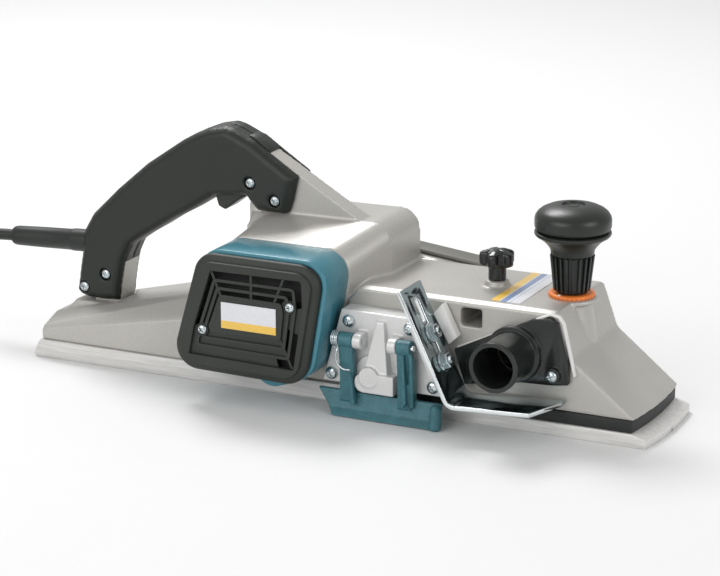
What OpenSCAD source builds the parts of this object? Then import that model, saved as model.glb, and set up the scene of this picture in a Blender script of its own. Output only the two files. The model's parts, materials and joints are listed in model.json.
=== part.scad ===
// Hand-held electric planer with a long sole, a closed handle, a belt-driven cutter and a rebate side.
// Millimetres. +X is forward, +Y is the belt side, -Y the rebate side, +Z is up.
// The origin is the centre of the sole's underside.

/* [Sole] */
// Length of the sole, front shoe included
sole_l = 450; // [400:10:540]
// Width of the sole
sole_w = 82; // [70:1:100]
// Thickness of the rear sole
sole_t = 12.5; // [10:0.5:15]
// Thickness of the front shoe
shoe_t = 8.6; // [7:0.2:10]
// Greatest depth of cut, which is how far the front shoe rises
cut_depth = 4; // [2:0.5:5]
// How far the shoe's front edge bows forward
shoe_bow = 3; // [1:0.5:6]

/* [Cutter] */
// Place of the cutter axis along the sole
cutter_x = 41; // [36:1:46]
// Radius of the cutting circle
cutter_r = 28.5; // [26:0.5:31]
// How far the knives stand out of the drum
knife_proud = 2.3; // [1:0.1:3]
// Gap between the cutting circle and the casting
cutter_gap = 1.5; // [1:0.1:2.5]

/* [Body] */
// Height of the front deck
deck_h = 81.5; // [78:0.5:90]
// Height of the hump over the motor
hump_h = 115; // [110:1:125]
// Wall thickness of the casting
wall = 5; // [3:0.5:6]
// Height of the casting's lower edge over the shoe
skirt_z = 17.3; // [16:0.1:19]

/* [Motor] */
// Place of the motor axis along the sole
motor_x = -38; // [-44:1:-34]
// Height of the motor axis
motor_z = 62; // [58:1:66]
// Length of the housing that stands out of the casting
housing_l = 27; // [24:1:34]
// Depth of the end grille
grille_l = 12; // [10:0.5:16]
// Length of the motor ring's lip round the end grille
housing_lip = 5.5; // [3:0.5:7]
// Wall of the motor ring
housing_wall = 3.5; // [2.5:0.1:4.5]
// Radius of the stator
stator_r = 33; // [28:0.5:34]
// Radius of the armature core
armature_r = 18.4; // [15:0.2:20]
// Radius of the armature shaft
shaft_r = 4; // [3.5:0.1:4.5]

/* [Belt drive] */
// Radius of the pulley on the motor
drive_r = 12; // [9:0.5:14]
// Radius of the pulley on the cutter
driven_r = 15; // [12:0.5:18]
// Width of the pulleys
pulley_w = 10; // [8:0.5:11]
// Thickness of the belt
belt_t = 2.5; // [1.5:0.1:3]

/* [Handle] */
// Height of the top of the handle
handle_h = 169.4; // [165:0.2:175]
// Width over both handle shells
handle_w = 30; // [27:1:36]
// Width of the cast neck that the shells clasp
neck_w = 14; // [11:1:17]
// Wall thickness of the shells
shell_t = 3; // [2.4:0.1:3.6]

/* [Controls] */
// Place of the depth knob along the sole
knob_x = 154.4; // [150:0.2:156]
// Radius of the depth knob's rim
knob_r = 24.7; // [20:0.1:28]
// Height of the top of the depth knob
knob_h = 141.8; // [136:0.2:150]
// Radius of the depth spindle
spindle_r = 5; // [4:0.1:6]
// Side of the square guide block under the spindle
guide_side = 22; // [18:0.5:23]
// Place of the star knob along the sole
star_x = 102.6; // [100:0.2:105]
// Radius of the star knob
star_r = 11.8; // [9:0.1:14]
// Length of the square hole for the side guide's bar
bar_hole_l = 14.6; // [12:0.2:16]
// Height of the square hole for the side guide's bar
bar_hole_h = 12.1; // [10:0.1:12.6]

/* [Chip outlet] */
// Place of the chip outlet along the sole
outlet_x = 134.3; // [132:0.2:136]
// Height of the chip outlet's axis
outlet_z = 52.6; // [51:0.1:54]
// Inner radius of the chip outlet
outlet_r = 13.4; // [13:0.1:16]
// Wall of the chip outlet's tube
outlet_t = 2; // [1.5:0.1:2.5]
// Length of the chip outlet's tube
outlet_l = 35; // [28:1:45]

/* [Rebate side] */
// Thickness of the bearing plate on the rebate side
plate_t = 14; // [12:0.5:16]
// Radius of the guard's pins
pin_r = 2; // [1.6:0.1:2.4]
// Thickness of the depth stop's strip
stop_t = 3; // [2:0.2:4]
// Width of the depth stop's strip
stop_w = 31; // [24:1:34]
// Slope of the depth stop's leg from upright, in degrees
stop_lean = 25.5; // [22:0.5:28]

/* [Cord] */
// Diameter of the mains cord
cord_d = 8; // [7:0.5:9]

/* [Fits] */
// Radial clearance of a shaft or pin that turns
run_gap = 0.05; // [0.02:0.01:0.1]
// Clearance of a slide
slide_gap = 0.3; // [0.2:0.05:0.4]
// Clearance of a piece that only sits in its place
seat_gap = 0.1; // [0.05:0.05:0.2]

/* [Hidden] */
$fn = 64;
half_w = sole_w / 2;
tail_x = -sole_l / 2;
nose_x = sole_l / 2;
rebate_y = -half_w;
cutter_z = cutter_r;
drum_r = cutter_r - knife_proud;
chamber_r = cutter_r + cutter_gap;
eps = 0.01;

// Small bearings: outer radius, bore radius and width
side_bearing = [11, shaft_r, 7];
belt_bearing = [14, 6, 8];
motor_bearing = [9.5, shaft_r, 6];

// Belt side, from the casting outwards
belt_wall_y = half_w - 2;
belt_wall_t = 8;
pulley_y = belt_wall_y + belt_wall_t + 1.5;
cover_y = pulley_y + pulley_w + 3.5;
drum_near_y = rebate_y + 0.4;
drum_far_y = belt_wall_y - 0.6;

// Rear deck of the casting
deck_inset = 2;
deck_rear_x = tail_x + 6;
deck_front_x = -88;
post_x = tail_x + 18;
post_l = 34;

// Motor housing: corners of its outline as offsets from the motor axis, with their radii
housing_corners = [[-22, 26, 16], [38, 26, 16], [28, -22, 18], [-36, -23, 16]];
housing_y = rebate_y - housing_l;
grille_y = housing_y - grille_l;
grille_shift = [-3.2, 0, -2];
hump_corners = [[motor_x - 16, hump_h - 17.5, 16], [16, hump_h - 14, 14], [14, 32, 18], [-76, 32, 16]];
bay_r = stator_r + seat_gap;
bay_y = belt_wall_y - wall;

// Front casting
nose_top_x = knob_x + 6.6;
nose_knee = [knob_x + 16.6, 52];
nose_foot_x = nose_x - 11.6;
shoulder_x = 16;
deck_bevel = 2;
front_bow_r = (half_w * half_w + shoe_bow * shoe_bow) / (2 * shoe_bow);
mouth_x = cutter_x + sqrt(pow(chamber_r, 2) - pow(cutter_r - cut_depth, 2));
cavity_x = cutter_x + 23;
column_top_r = 13;
column_foot_r = 18;
column_foot_z = 47;
collar_r = 17.5;

// Depth control under the knob
guide_top_z = 40;
guide_foot_z = shoe_t + 5;
pocket_top_z = guide_top_z + cut_depth + 3;
ring_r = 15;
ring_t = 2.5;
ring_top_z = deck_h + ring_t;
knob_foot_z = ring_top_z + slide_gap;
rim_z = knob_h - 20.8;
groove_z = knob_h - 16.8;

// Square hole for the side guide's bar
bar_hole_z = deck_h - 4.8 - bar_hole_h;

// Bearing plate on the rebate side
plate_y = rebate_y - plate_t;
plate_outline = [[17.3, 69.4], [76, 69], [91, 19.3], [3.8, 19.3]];
plate_screw_places = [[22.8, 62.1], [10.5, 25.2], [66, 62.2], [82.6, 25.4]];
boss_y = plate_y - 10;
boss_r = 6.8;

// Rebate guard
hinge_y = plate_y - 7;
hinge_z = 51.5;
guard_top_z = 16.2;
guard_low_z = 0.6;
guard_x = [3, 90.5];
arm_places = [[20, 29.7], [61, 70.7]];
lug_places = [[30, 36], [54.5, 60.7]];
lug_r = 5;

// Rebate depth stop: it slides along its slanted leg
stop_far_y = rebate_y - 4;
stop_near_y = stop_far_y - stop_w;
stop_bend = [97, 30];
stop_leg_l = 68.7;
stop_foot_z = 21;
stop_bend_r = 7.5;
stop_foot_x = 168;
stop_foot_rise = 3;
stop_corner_x = 157;
stop_bolt_r = 2.5;
stop_bolt_places = [16, 36];
stop_bend_x = stop_bend.x + (stop_bend.y - stop_foot_z) * tan(stop_lean)
    + stop_bend_r * tan((90 - stop_lean) / 2);

// Handle outline in X and Z: rear part from the post, front part from the neck
grip_top = handle_h - 1;
handle_outline = [
    [post_x, 42], [post_x + 2.5, 59], [post_x + 4.5, 70], [post_x + 6.2, 85], [post_x + 13.5, 97.4],
    [post_x + 33.7, grip_top - 51.2], [post_x + 56.4, grip_top - 31.4], [-122.9, grip_top - 12.2],
    [-112, grip_top - 6], [-101, grip_top - 1.4], [-90, handle_h], [-84, grip_top - 0.4],
    [-68.4, grip_top - 7.2], [-55.3, grip_top - 15.8], [-36.4, grip_top - 27.8], [-40.2, 123.7],
    [-43, 115.5], [-45.5, 114], [-65.9, 114], [-70.3, 117.8], [-75, 123.5], [-98, 120.5], [-117, 108.3],
    [-130.8, 100.5], [-142, 93], [post_x + 52.4, 85.2], [post_x + 43.9, 79.1], [post_x + 39.5, 69.8],
    [post_x + 37.9, 63.9], [post_x + 35.4, 50.3], [post_x + post_l, 37.9], [post_x + 20, 36.9],
    [post_x + 9, 37.3], [post_x + 3, 38.8]];
neck_rear_x = -74;
ridge_x = 12;
handle_screw_places = [[-70.2, 133.4], [-51.9, 123.1], [post_x + 24.4, 56.5], [post_x + 7.4, 45.6]];
post_seat_z = 36.2;
post_core_w = 18;
post_core_top = 66;
trigger_pivot = [-74.5, 130];
trigger_half_w = 8.6;
switch_box = [-110, -80, 133, 150];

// Strain relief and cord
boot_z = 75;
boot_start_x = post_x + 14;
boot_l = 70;
boot_slope = 3;
boot_r = 7.9;
boot_tip_r = 6.8;
boot_tip = [boot_start_x - boot_l * cos(boot_slope), 0, boot_z - boot_l * sin(boot_slope)];
coil_centre = [-460, -15, 0];
coil_turn_r = 5.5 * cord_d;
cord_sides = 10;
cord_points = [[-262, 0, 71.4], [-280, 0, 70], [-298, 0, 66], [-316, 2, 58.5], [-333, 5, 48],
    [-349, 8, 35.5], [-365, 12, 23], [-382, 17, 12.5], [-400, 23, 6], [-418, 29, 4], [-436, 34, 4],
    [-452, 36.5, 4]];
tail_points = [[-460, -67, 28], [-446, -67.3, 28], [-432, -68.6, 26.6], [-418, -70.8, 23.6],
    [-404, -73, 20.2], [-390, -74, 18]];
plug_z = 18;

// ---- shapes used by several pieces ----

// Solid between two values of Y, from an outline drawn in X and Z
module slab_y(y0, y1) {
    translate([0, y1, 0]) rotate([90, 0, 0]) linear_extrude(y1 - y0) children();
}

// Round bars along each axis
module bar_y(x, z, r, y0, y1) {
    translate([x, y1, z]) rotate([90, 0, 0]) cylinder(r = r, h = y1 - y0);
}

module bar_z(x, y, r, z0, z1) {
    translate([x, y, z0]) cylinder(r = r, h = z1 - z0);
}

module bar_x(y, z, r, x0, x1) {
    translate([x0, y, z]) rotate([0, 90, 0]) cylinder(r = r, h = x1 - x0);
}

// Box between two corners
module block(x0, x1, y0, y1, z0, z1) {
    translate([x0, y0, z0]) cube([x1 - x0, y1 - y0, z1 - z0]);
}

// Outline with round corners, from [x, z, radius] corners
module round_outline(corners, grow = 0) {
    hull() for (c = corners) translate([c.x, c.y]) circle(r = c[2] + grow, $fn = 32);
}

module housing_outline(grow = 0) {
    translate([motor_x, motor_z]) round_outline(housing_corners, grow);
}

// Outline of the belt side, wrapped round both pulleys
module belt_outline(grow = 0) {
    round_outline([[motor_x - 3, motor_z, 32], [70, deck_h - 19.5, 20],
        [cutter_x, cutter_z + 3.5, driven_r + 11]], grow);
}

// Ring of a bearing along Y
module bearing(x, z, size, y0) {
    difference() {
        bar_y(x, z, size[0] - seat_gap, y0, y0 + size[2]);
        bar_y(x, z, size[1] + run_gap, y0 - 1, y0 + size[2] + 1);
    }
}

// Cross-head screw along Z: its top is a low dome, its shank hangs below
module cross_screw(head_r, head_h, shank_r, shank_l) {
    difference() {
        union() {
            cylinder(r1 = head_r, r2 = head_r * 0.72, h = head_h);
            translate([0, 0, -shank_l]) cylinder(r = shank_r, h = shank_l);
        }
        for (a = [0, 90]) rotate([0, 0, a])
            translate([-head_r * 0.55, -0.4, head_h * 0.4]) cube([head_r * 1.1, 0.8, head_h]);
    }
}

// The same screw pointing along -Y, with its head on the plane y
module side_screw(x, z, y, head_r, head_h, shank_r, shank_l) {
    translate([x, y, z]) rotate([90, 0, 0]) cross_screw(head_r, head_h, shank_r, shank_l);
}

// Plan of a plate whose front edge bows forward, in X and Y
module bowed_plan(x0, x1, half) {
    intersection() {
        translate([x0, -half]) square([x1 - x0, 2 * half]);
        translate([x1 - front_bow_r, 0]) circle(r = front_bow_r, $fn = 360);
    }
}

// ---- casting ----

// Cross-section of the rear deck as points in Y and Z, at side height side_z and crown height crown_z
function deck_section(side_z, crown_z) = let (w = half_w - deck_inset)
    [[-w, sole_t], [-w, side_z], [-w + 2, side_z + 2.3], [-20, crown_z], [20, crown_z],
     [w - 2, side_z + 2.3], [w, side_z], [w, sole_t]];

module deck_slice(x, side_z, crown_z) {
    translate([x, 0, 0]) rotate([90, 0, 90]) linear_extrude(1) polygon(deck_section(side_z, crown_z));
}

module rear_deck() {
    hull() {
        deck_slice(deck_rear_x, 19.4, 27.5);
        deck_slice(deck_front_x, 44.3, 59.5);
    }
}

// Cast foot under the rear post of the handle
module post_foot() {
    hull() {
        block(post_x - 6, post_x + post_l + 8, -handle_w / 2 - 7, handle_w / 2 + 7, 24, 26);
        block(post_x + 1, post_x + post_l, -handle_w / 2, handle_w / 2, 30, post_seat_z);
    }
}

module casing() {
    hull() {
        for (c = housing_corners)
            bar_y(motor_x + c.x, motor_z + c.y, c[2], rebate_y, rebate_y + 1, $fn = 32);
        for (c = hump_corners) bar_y(c.x, c.y, c[2], -6, belt_wall_y, $fn = 32);
    }
    block(-104, shoulder_x + 4, -half_w + deck_inset, half_w - deck_inset, sole_t, 34);
}

// Neck that carries the front of the handle, from the casing's top to the shells
module neck() {
    slab_y(-neck_w / 2, neck_w / 2)
        polygon([[neck_rear_x, 90], [neck_rear_x, 118], [-71, 124], [-71, 152], [-66.5, 158.6],
                 [-54, 151.4], [ridge_x, hump_h - 2], [ridge_x, 90]]);
    hull() {
        block(neck_rear_x + 3, ridge_x - 14, -neck_w / 2, neck_w / 2, 90, 114);
        block(neck_rear_x + 2, ridge_x, -neck_w / 2 - 8, neck_w / 2 + 8, 90, 105);
    }
}

module front_shell() {
    slab_y(rebate_y, half_w)
        polygon([[shoulder_x, sole_t], [shoulder_x, 72], [shoulder_x + 6, deck_h - deck_bevel],
                 [nose_top_x, deck_h - deck_bevel], [nose_knee.x, nose_knee.y], [cavity_x, skirt_z],
                 [mouth_x - 5, skirt_z], [mouth_x - 5, sole_t]]);
    hull() {
        translate([0, 0, skirt_z]) linear_extrude(1)
            bowed_plan(cavity_x, nose_foot_x + shoe_bow, half_w - 0.5);
        block(cavity_x, nose_knee.x, rebate_y, half_w, nose_knee.y - 1, nose_knee.y);
    }
    hull() {
        block(shoulder_x + 6, nose_top_x, rebate_y, half_w, deck_h - deck_bevel - 1, deck_h - deck_bevel);
        block(shoulder_x + 8, nose_top_x - 0.6, rebate_y + 5, half_w - 4, deck_h - 1, deck_h);
    }
}

// Inside of the front casting, open below
module front_cavity() {
    slab_y(rebate_y + wall, half_w - wall)
        polygon([[cavity_x, skirt_z - 1], [cavity_x, deck_h - 7], [nose_top_x - 5, deck_h - 7],
                 [nose_knee.x - 6.5, nose_knee.y - 1], [nose_foot_x - 9, skirt_z + 3],
                 [nose_foot_x - 9, skirt_z - 1]]);
    block(cutter_x, cavity_x + 6, rebate_y + wall, belt_wall_y - 2, cutter_z, 56);
}

// Pillar and column that guide the shoe and carry the spindle
module depth_column() {
    block(knob_x - guide_side / 2 - 4.5, knob_x + guide_side / 2 + 4.5, -guide_side / 2 - 4.5,
          guide_side / 2 + 4.5, 22, pocket_top_z + 5);
    translate([knob_x, 0, column_foot_z])
        cylinder(r1 = column_foot_r, r2 = column_top_r, h = deck_h - 1 - column_foot_z);
    bar_z(knob_x, 0, collar_r, deck_h - 3, deck_h);
}

module body_casting() {
    color([0.74, 0.73, 0.69]) difference() {
        union() {
            rear_deck();
            post_foot();
            casing();
            neck();
            difference() {
                slab_y(belt_wall_y - 2, belt_wall_y + belt_wall_t) belt_outline(-3);
                block(tail_x, nose_x, belt_wall_y - 3, half_w, 0, skirt_z);
            }
            difference() {
                front_shell();
                front_cavity();
            }
            depth_column();
            block(star_x - bar_hole_l / 2 - 4, star_x + bar_hole_l / 2 + 4, rebate_y + 1, half_w - 1,
                  bar_hole_z - 3.5, deck_h - 2);
            bar_z(star_x, 0, 8, deck_h - 1, deck_h + 4);
        }
        // seat of the handle's post
        block(post_x - 1, post_x + post_l + 0.6, -handle_w / 2 - 0.4, handle_w / 2 + 0.4, post_seat_z, 70);
        // hollow under the rear deck
        slab_y(-half_w + deck_inset + wall, half_w - deck_inset - wall)
            polygon([[deck_rear_x + 8, sole_t - 1], [-82, sole_t - 1], [-82, 38], [deck_rear_x + 8, 15]]);
        // cutter chamber with its mouth, and the motor bay
        bar_y(cutter_x, cutter_z, chamber_r, rebate_y - 1, belt_wall_y);
        block(cutter_x - 6, mouth_x + 1, rebate_y - 1, belt_wall_y, sole_t - 1, skirt_z + 2);
        bar_y(motor_x, motor_z, bay_r, rebate_y - 1, bay_y);
        // bearing seats and shaft holes in the belt wall
        bar_y(motor_x, motor_z, side_bearing[0], belt_wall_y + belt_wall_t - side_bearing[2], cover_y);
        bar_y(motor_x, motor_z, shaft_r + 2, bay_y - 1, cover_y);
        bar_y(cutter_x, cutter_z, belt_bearing[0], belt_wall_y - 1, cover_y);
        // depth control
        bar_z(knob_x, 0, spindle_r + run_gap, 20, deck_h + 1);
        block(knob_x - guide_side / 2 - slide_gap, knob_x + guide_side / 2 + slide_gap,
              -guide_side / 2 - slide_gap, guide_side / 2 + slide_gap, 20, pocket_top_z);
        // guide bar's hole, its clamp's hole and the chip port
        block(star_x - bar_hole_l / 2, star_x + bar_hole_l / 2, rebate_y - 1, half_w + 1,
              bar_hole_z, bar_hole_z + bar_hole_h);
        bar_z(star_x, 0, 3 + run_gap, bar_hole_z, deck_h + 5);
        bar_y(outlet_x, outlet_z, outlet_r + 1, rebate_y - 1, rebate_y + wall + 1);
        // screw holes
        for (p = plate_screw_places) bar_y(p.x, p.y, 2 + seat_gap, rebate_y - 1, rebate_y + 12);
        bar_y(outlet_x + 27, 42, 1.6 + seat_gap, rebate_y - 1, rebate_y + 4);
        for (p = [0, 1]) bar_y(handle_screw_places[p].x, handle_screw_places[p].y, 2 + seat_gap, -20, 20);
        for (x = sole_screw_xs, s = [-1, 1]) bar_z(x, s * 28, 2.5 + seat_gap, sole_t - 1, sole_t + 10);
        for (p = cover_screw_places) bar_y(p.x, p.y, 2 + seat_gap, belt_wall_y - 4, cover_y);
    }
}
sole_screw_xs = [tail_x + 30, -100, -8];
cover_screw_places = [[motor_x - 22, motor_z + 14], [motor_x - 12, motor_z - 22], [76, 66], [70, 26]];

module rear_sole() {
    color([0.80, 0.80, 0.78]) difference() {
        slab_y(rebate_y, half_w)
            polygon([[tail_x + 1.2, 0.6], [tail_x + 2.4, 0], [cutter_x + 4, 0], [cutter_x + 4, sole_t],
                     [tail_x + 5, sole_t], [tail_x + 2.5, 8], [tail_x, 2.2]]);
        bar_y(cutter_x, cutter_z, chamber_r, rebate_y - 1, half_w + 1);
        block(cutter_x - 5, cutter_x + 10, rebate_y - 1, half_w + 1, -1, sole_t + 1);
        for (x = sole_screw_xs, s = [-1, 1]) {
            bar_z(x, s * 28, 2.5 + seat_gap, -1, sole_t + 1);
            translate([x, s * 28, -eps]) cylinder(r1 = 5.2, r2 = 2.6, h = 3);
        }
    }
}

module sole_screws() {
    color("silver") for (x = sole_screw_xs, s = [-1, 1]) {
        translate([x, s * 28, 0.4]) cylinder(r1 = 4.6, r2 = 2.3, h = 2.5);
        bar_z(x, s * 28, 2.5 - seat_gap, 2.6, sole_t + 9);
    }
}

// ---- belt side ----

module belt_cover() {
    color([0.36, 0.36, 0.33]) difference() {
        hull() {
            slab_y(half_w + slide_gap, cover_y - 4) belt_outline();
            slab_y(cover_y - 4, cover_y) belt_outline(-4);
        }
        slab_y(half_w, cover_y - 2.6) belt_outline(-2.6);
        for (p = cover_screw_places) bar_y(p.x, p.y, 2 + seat_gap, half_w, cover_y + 1);
    }
    color([0.36, 0.36, 0.33]) for (p = cover_screw_places) difference() {
        bar_y(p.x, p.y, 5, belt_wall_y + belt_wall_t, cover_y - 2.6);
        bar_y(p.x, p.y, 2 + seat_gap, half_w, cover_y + 1);
    }
}

module belt_cover_screws() {
    color("silver") for (p = cover_screw_places)
        translate([p.x, cover_y + eps, p.y]) rotate([-90, 0, 0]) cross_screw(4, 2.2, 2, 20);
}

module drive_belt() {
    color([0.12, 0.12, 0.12]) slab_y(pulley_y + 0.5, pulley_y + pulley_w - 0.5) difference() {
        round_outline([[motor_x, motor_z, drive_r + seat_gap], [cutter_x, cutter_z, driven_r + seat_gap]],
                      belt_t);
        round_outline([[motor_x, motor_z, drive_r + 0.2], [cutter_x, cutter_z, driven_r + 0.2]]);
    }
}

module pulley(x, z, r, bore_r) {
    difference() {
        union() {
            bar_y(x, z, r, pulley_y, pulley_y + pulley_w);
            bar_y(x, z, bore_r + 3, pulley_y - 1, pulley_y);
        }
        bar_y(x, z, bore_r, pulley_y - 2, pulley_y + pulley_w + 1);
    }
}

module drive_pulley() {
    color([0.6, 0.6, 0.62]) pulley(motor_x, motor_z, drive_r, shaft_r);
}

module driven_pulley() {
    color([0.6, 0.6, 0.62]) pulley(cutter_x, cutter_z, driven_r, belt_bearing[1]);
}

// ---- motor ----

module motor_housing() {
    color([0.13, 0.36, 0.45]) difference() {
        union() {
            difference() {
                union() {
                    slab_y(housing_y - housing_lip, rebate_y) housing_outline();
                    // bulge under the ring
                    slab_y(housing_y - housing_lip + 0.8, rebate_y - 8)
                        round_outline([[motor_x + 14, motor_z - 32, 14], [motor_x + 26, motor_z - 30, 12]]);
                }
                slab_y(housing_y - housing_lip - 1, rebate_y + 1) housing_outline(-housing_wall);
            }
            // bridge for the rear bearing
            slab_y(housing_y + 3, housing_y + 12) intersection() {
                housing_outline(-1);
                union() {
                    translate([motor_x - 80, motor_z - 9]) square([160, 18]);
                    translate([motor_x, motor_z]) circle(r = motor_bearing[0] + 4);
                }
            }
            // bosses for the grille screws
            for (p = grille_screw_places) bar_y(p.x, p.y, 5, housing_y, rebate_y);
        }
        bar_y(motor_x, motor_z, motor_bearing[0], housing_y + 5, housing_y + 13);
        bar_y(motor_x, motor_z, shaft_r + 1.5, housing_y, housing_y + 13);
        for (p = grille_screw_places) bar_y(p.x, p.y, 1.6 + seat_gap, housing_y - 1, housing_y + 14);
    }
}
grille_screw_places = [[motor_x - 34, motor_z - 12], [motor_x + 30, motor_z + 11]];
badge_size = [40, 17.5];

// Slots in three nested rings round the badge
module grille_slots() {
    for (i = [0:2]) {
        top = motor_z + 25.5 - 6.4 * i;
        left = motor_x - 35 + 5.6 * i;
        right = motor_x + 33 - 4 * i;
        if (top - 3.4 > motor_z + badge_size.y / 2)
            translate([left + 9, top - 3.4]) square([right - left - 11, 3.4]);
        translate([left - 6 + i, motor_z - 22 + 5 * i]) square([3, 34 - 6 * i]);
        translate([right - 3 - i, motor_z - 20 + 5 * i]) square([3, 22 - 3 * i]);
        translate([left + 2, motor_z - 27 + 5.6 * i]) square([right - left - 12, 2.8]);
    }
}

module end_grille() {
    color([0.15, 0.16, 0.15]) difference() {
        union() {
            slab_y(grille_y + 5, housing_y) housing_outline(-housing_wall - seat_gap);
            hull() translate(grille_shift) {
                slab_y(grille_y + 4, housing_y - housing_lip) housing_outline(-0.4);
                slab_y(grille_y, grille_y + 1) housing_outline(-4.4);
            }
        }
        slab_y(grille_y + 3.5, housing_y + 1) housing_outline(-housing_wall - 2.4);
        slab_y(grille_y - 1, grille_y + 4) grille_slots();
        block(motor_x - badge_size.x / 2 - seat_gap, motor_x + badge_size.x / 2 + seat_gap, grille_y - 1,
              grille_y + 1.2, motor_z - badge_size.y / 2 - seat_gap, motor_z + badge_size.y / 2 + seat_gap);
        for (p = grille_screw_places) {
            bar_y(p.x, p.y, 1.6 + seat_gap, grille_y - 1, housing_y + 1);
            bar_y(p.x, p.y, 3.6, grille_y - 1, grille_y + 1.4);
        }
    }
    color([0.15, 0.16, 0.15]) for (p = grille_screw_places) difference() {
        bar_y(p.x, p.y, 4.6, grille_y + 3, housing_y);
        bar_y(p.x, p.y, 1.6 + seat_gap, grille_y, housing_y + 1);
    }
}

module grille_screws() {
    color("silver") for (p = grille_screw_places)
        side_screw(p.x, p.y, grille_y + 1.4, 3.4, 1.3, 1.6, 18);
}

module badge_plate() {
    color([0.88, 0.76, 0.2]) block(motor_x - badge_size.x / 2, motor_x + badge_size.x / 2, grille_y + 0.2,
        grille_y + 1.2, motor_z - badge_size.y / 2, motor_z + badge_size.y / 2);
}

stator_y = [rebate_y + 10, rebate_y + 52];
module stator_core() {
    color([0.45, 0.45, 0.47]) difference() {
        bar_y(motor_x, motor_z, stator_r, stator_y[0], stator_y[1]);
        bar_y(motor_x, motor_z, armature_r + 0.6, stator_y[0] - 1, stator_y[1] + 1);
        for (s = [-1, 1]) block(motor_x - 9, motor_x + 9, stator_y[0] - 1, stator_y[1] + 1,
            motor_z + s * 24 - 4, motor_z + s * 24 + 4);
    }
}

module field_coils() {
    color([0.72, 0.4, 0.2]) for (y = [stator_y[0] - 7, stator_y[1]]) difference() {
        bar_y(motor_x, motor_z, stator_r - 3, y, y + 7);
        bar_y(motor_x, motor_z, armature_r + 3, y - 1, y + 8);
        block(motor_x - 40, motor_x + 40, y - 1, y + 8, motor_z - 8, motor_z + 8);
    }
}

module armature() {
    color([0.5, 0.48, 0.46]) {
        bar_y(motor_x, motor_z, shaft_r, housing_y + 5.4, pulley_y + pulley_w + 0.5);
        difference() {
            bar_y(motor_x, motor_z, armature_r, stator_y[0] + 1, stator_y[1] - 1);
            for (i = [0:11]) translate([motor_x, 0, motor_z]) rotate([0, 30 * i, 0])
                block(-1.2, 1.2, stator_y[0] - 1, stator_y[1] + 1, armature_r - 6, armature_r + 1);
        }
    }
}

commutator_y = [housing_y + 13.5, housing_y + 23.5];
module commutator() {
    color([0.78, 0.5, 0.25]) difference() {
        bar_y(motor_x, motor_z, 11, commutator_y[0], commutator_y[1]);
        bar_y(motor_x, motor_z, shaft_r, commutator_y[0] - 1, commutator_y[1] + 1);
    }
}

module fan() {
    fan_y = stator_y[1] + 10;
    color([0.2, 0.2, 0.2]) difference() {
        union() {
            bar_y(motor_x, motor_z, 9, fan_y, fan_y + 8);
            bar_y(motor_x, motor_z, stator_r - 3, fan_y + 6.4, fan_y + 8);
            for (i = [0:8]) translate([motor_x, 0, motor_z]) rotate([0, 40 * i, 0])
                block(-1, 1, fan_y + 0.5, fan_y + 7, 5.5, stator_r - 6);
        }
        bar_y(motor_x, motor_z, shaft_r, fan_y - 1, fan_y + 9);
    }
}

module motor_bearings() {
    color("silver") {
        bearing(motor_x, motor_z, motor_bearing, housing_y + 6);
        bearing(motor_x, motor_z, side_bearing, belt_wall_y + belt_wall_t - side_bearing[2]);
    }
}

module brush_holders() {
    color([0.7, 0.58, 0.3]) for (s = [-1, 1]) translate([motor_x, 0, motor_z]) rotate([0, 90 - 90 * s, 0])
        difference() {
            block(13, 27, commutator_y[0] + 1, commutator_y[1] - 1, -5, 5);
            block(12, 26, commutator_y[0] + 2.5, commutator_y[1] - 2.5, -3.3, 3.3);
        }
}

module carbon_brushes() {
    color([0.12, 0.12, 0.12]) for (s = [-1, 1]) translate([motor_x, 0, motor_z]) rotate([0, 90 - 90 * s, 0])
        block(11.3, 23, commutator_y[0] + 2.7, commutator_y[1] - 2.7, -3.1, 3.1);
}

// ---- cutter ----

// Places a piece in one of the drum's two knife slots; local X runs across the slot, Z outwards
module in_slots() {
    for (a = [90, 270]) translate([cutter_x, 0, cutter_z]) rotate([0, a, 0]) children();
}

slot_floor = cutter_r - 16;
slot_w = 13;
knife_t = 3;
clamp_screw_ys = [for (i = [0:3]) drum_near_y + 12 + i * (drum_far_y - drum_near_y - 24) / 3];

module cutter_drum() {
    color([0.55, 0.56, 0.58]) {
        difference() {
            bar_y(cutter_x, cutter_z, drum_r, drum_near_y, drum_far_y);
            in_slots()
                block(-knife_t, slot_w - knife_t, drum_near_y - 1, drum_far_y + 1, slot_floor, cutter_r);
            in_slots() for (y = clamp_screw_ys)
                translate([(slot_w - knife_t) / 2, y, slot_floor - 8]) cylinder(r = 2.5, h = 9);
        }
        bar_y(cutter_x, cutter_z, shaft_r, rebate_y - side_bearing[2] - 1, drum_near_y + 1);
        bar_y(cutter_x, cutter_z, belt_bearing[1], drum_far_y - 1, pulley_y + pulley_w + 0.5);
    }
}

module knives() {
    color("silver") in_slots()
        block(-knife_t, 0, drum_near_y + 0.2, drum_far_y - 0.2, slot_floor, cutter_r - 0.2);
}

module clamp_bars() {
    color([0.4, 0.4, 0.42]) in_slots() difference() {
        block(0, slot_w - knife_t, drum_near_y + 0.5, drum_far_y - 0.5, slot_floor, drum_r - 2.2);
        for (y = clamp_screw_ys) translate([(slot_w - knife_t) / 2, y, slot_floor - 1])
            cylinder(r = 2.5 + seat_gap, h = 16);
    }
}

module clamp_screws() {
    color([0.2, 0.2, 0.22]) in_slots() for (y = clamp_screw_ys)
        translate([(slot_w - knife_t) / 2, y, slot_floor - 7.8]) cylinder(r = 2.5 - seat_gap, h = 17);
}

module cutter_bearings() {
    color("silver") {
        bearing(cutter_x, cutter_z, side_bearing, rebate_y - side_bearing[2]);
        bearing(cutter_x, cutter_z, belt_bearing, belt_wall_y);
    }
}

// ---- rebate side ----

// Places a piece on the depth stop's leg: local X is the leg's outer normal, Z runs up the leg
module on_leg() {
    translate([stop_bend.x, 0, stop_bend.y]) rotate([0, -stop_lean, 0]) children();
}

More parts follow.
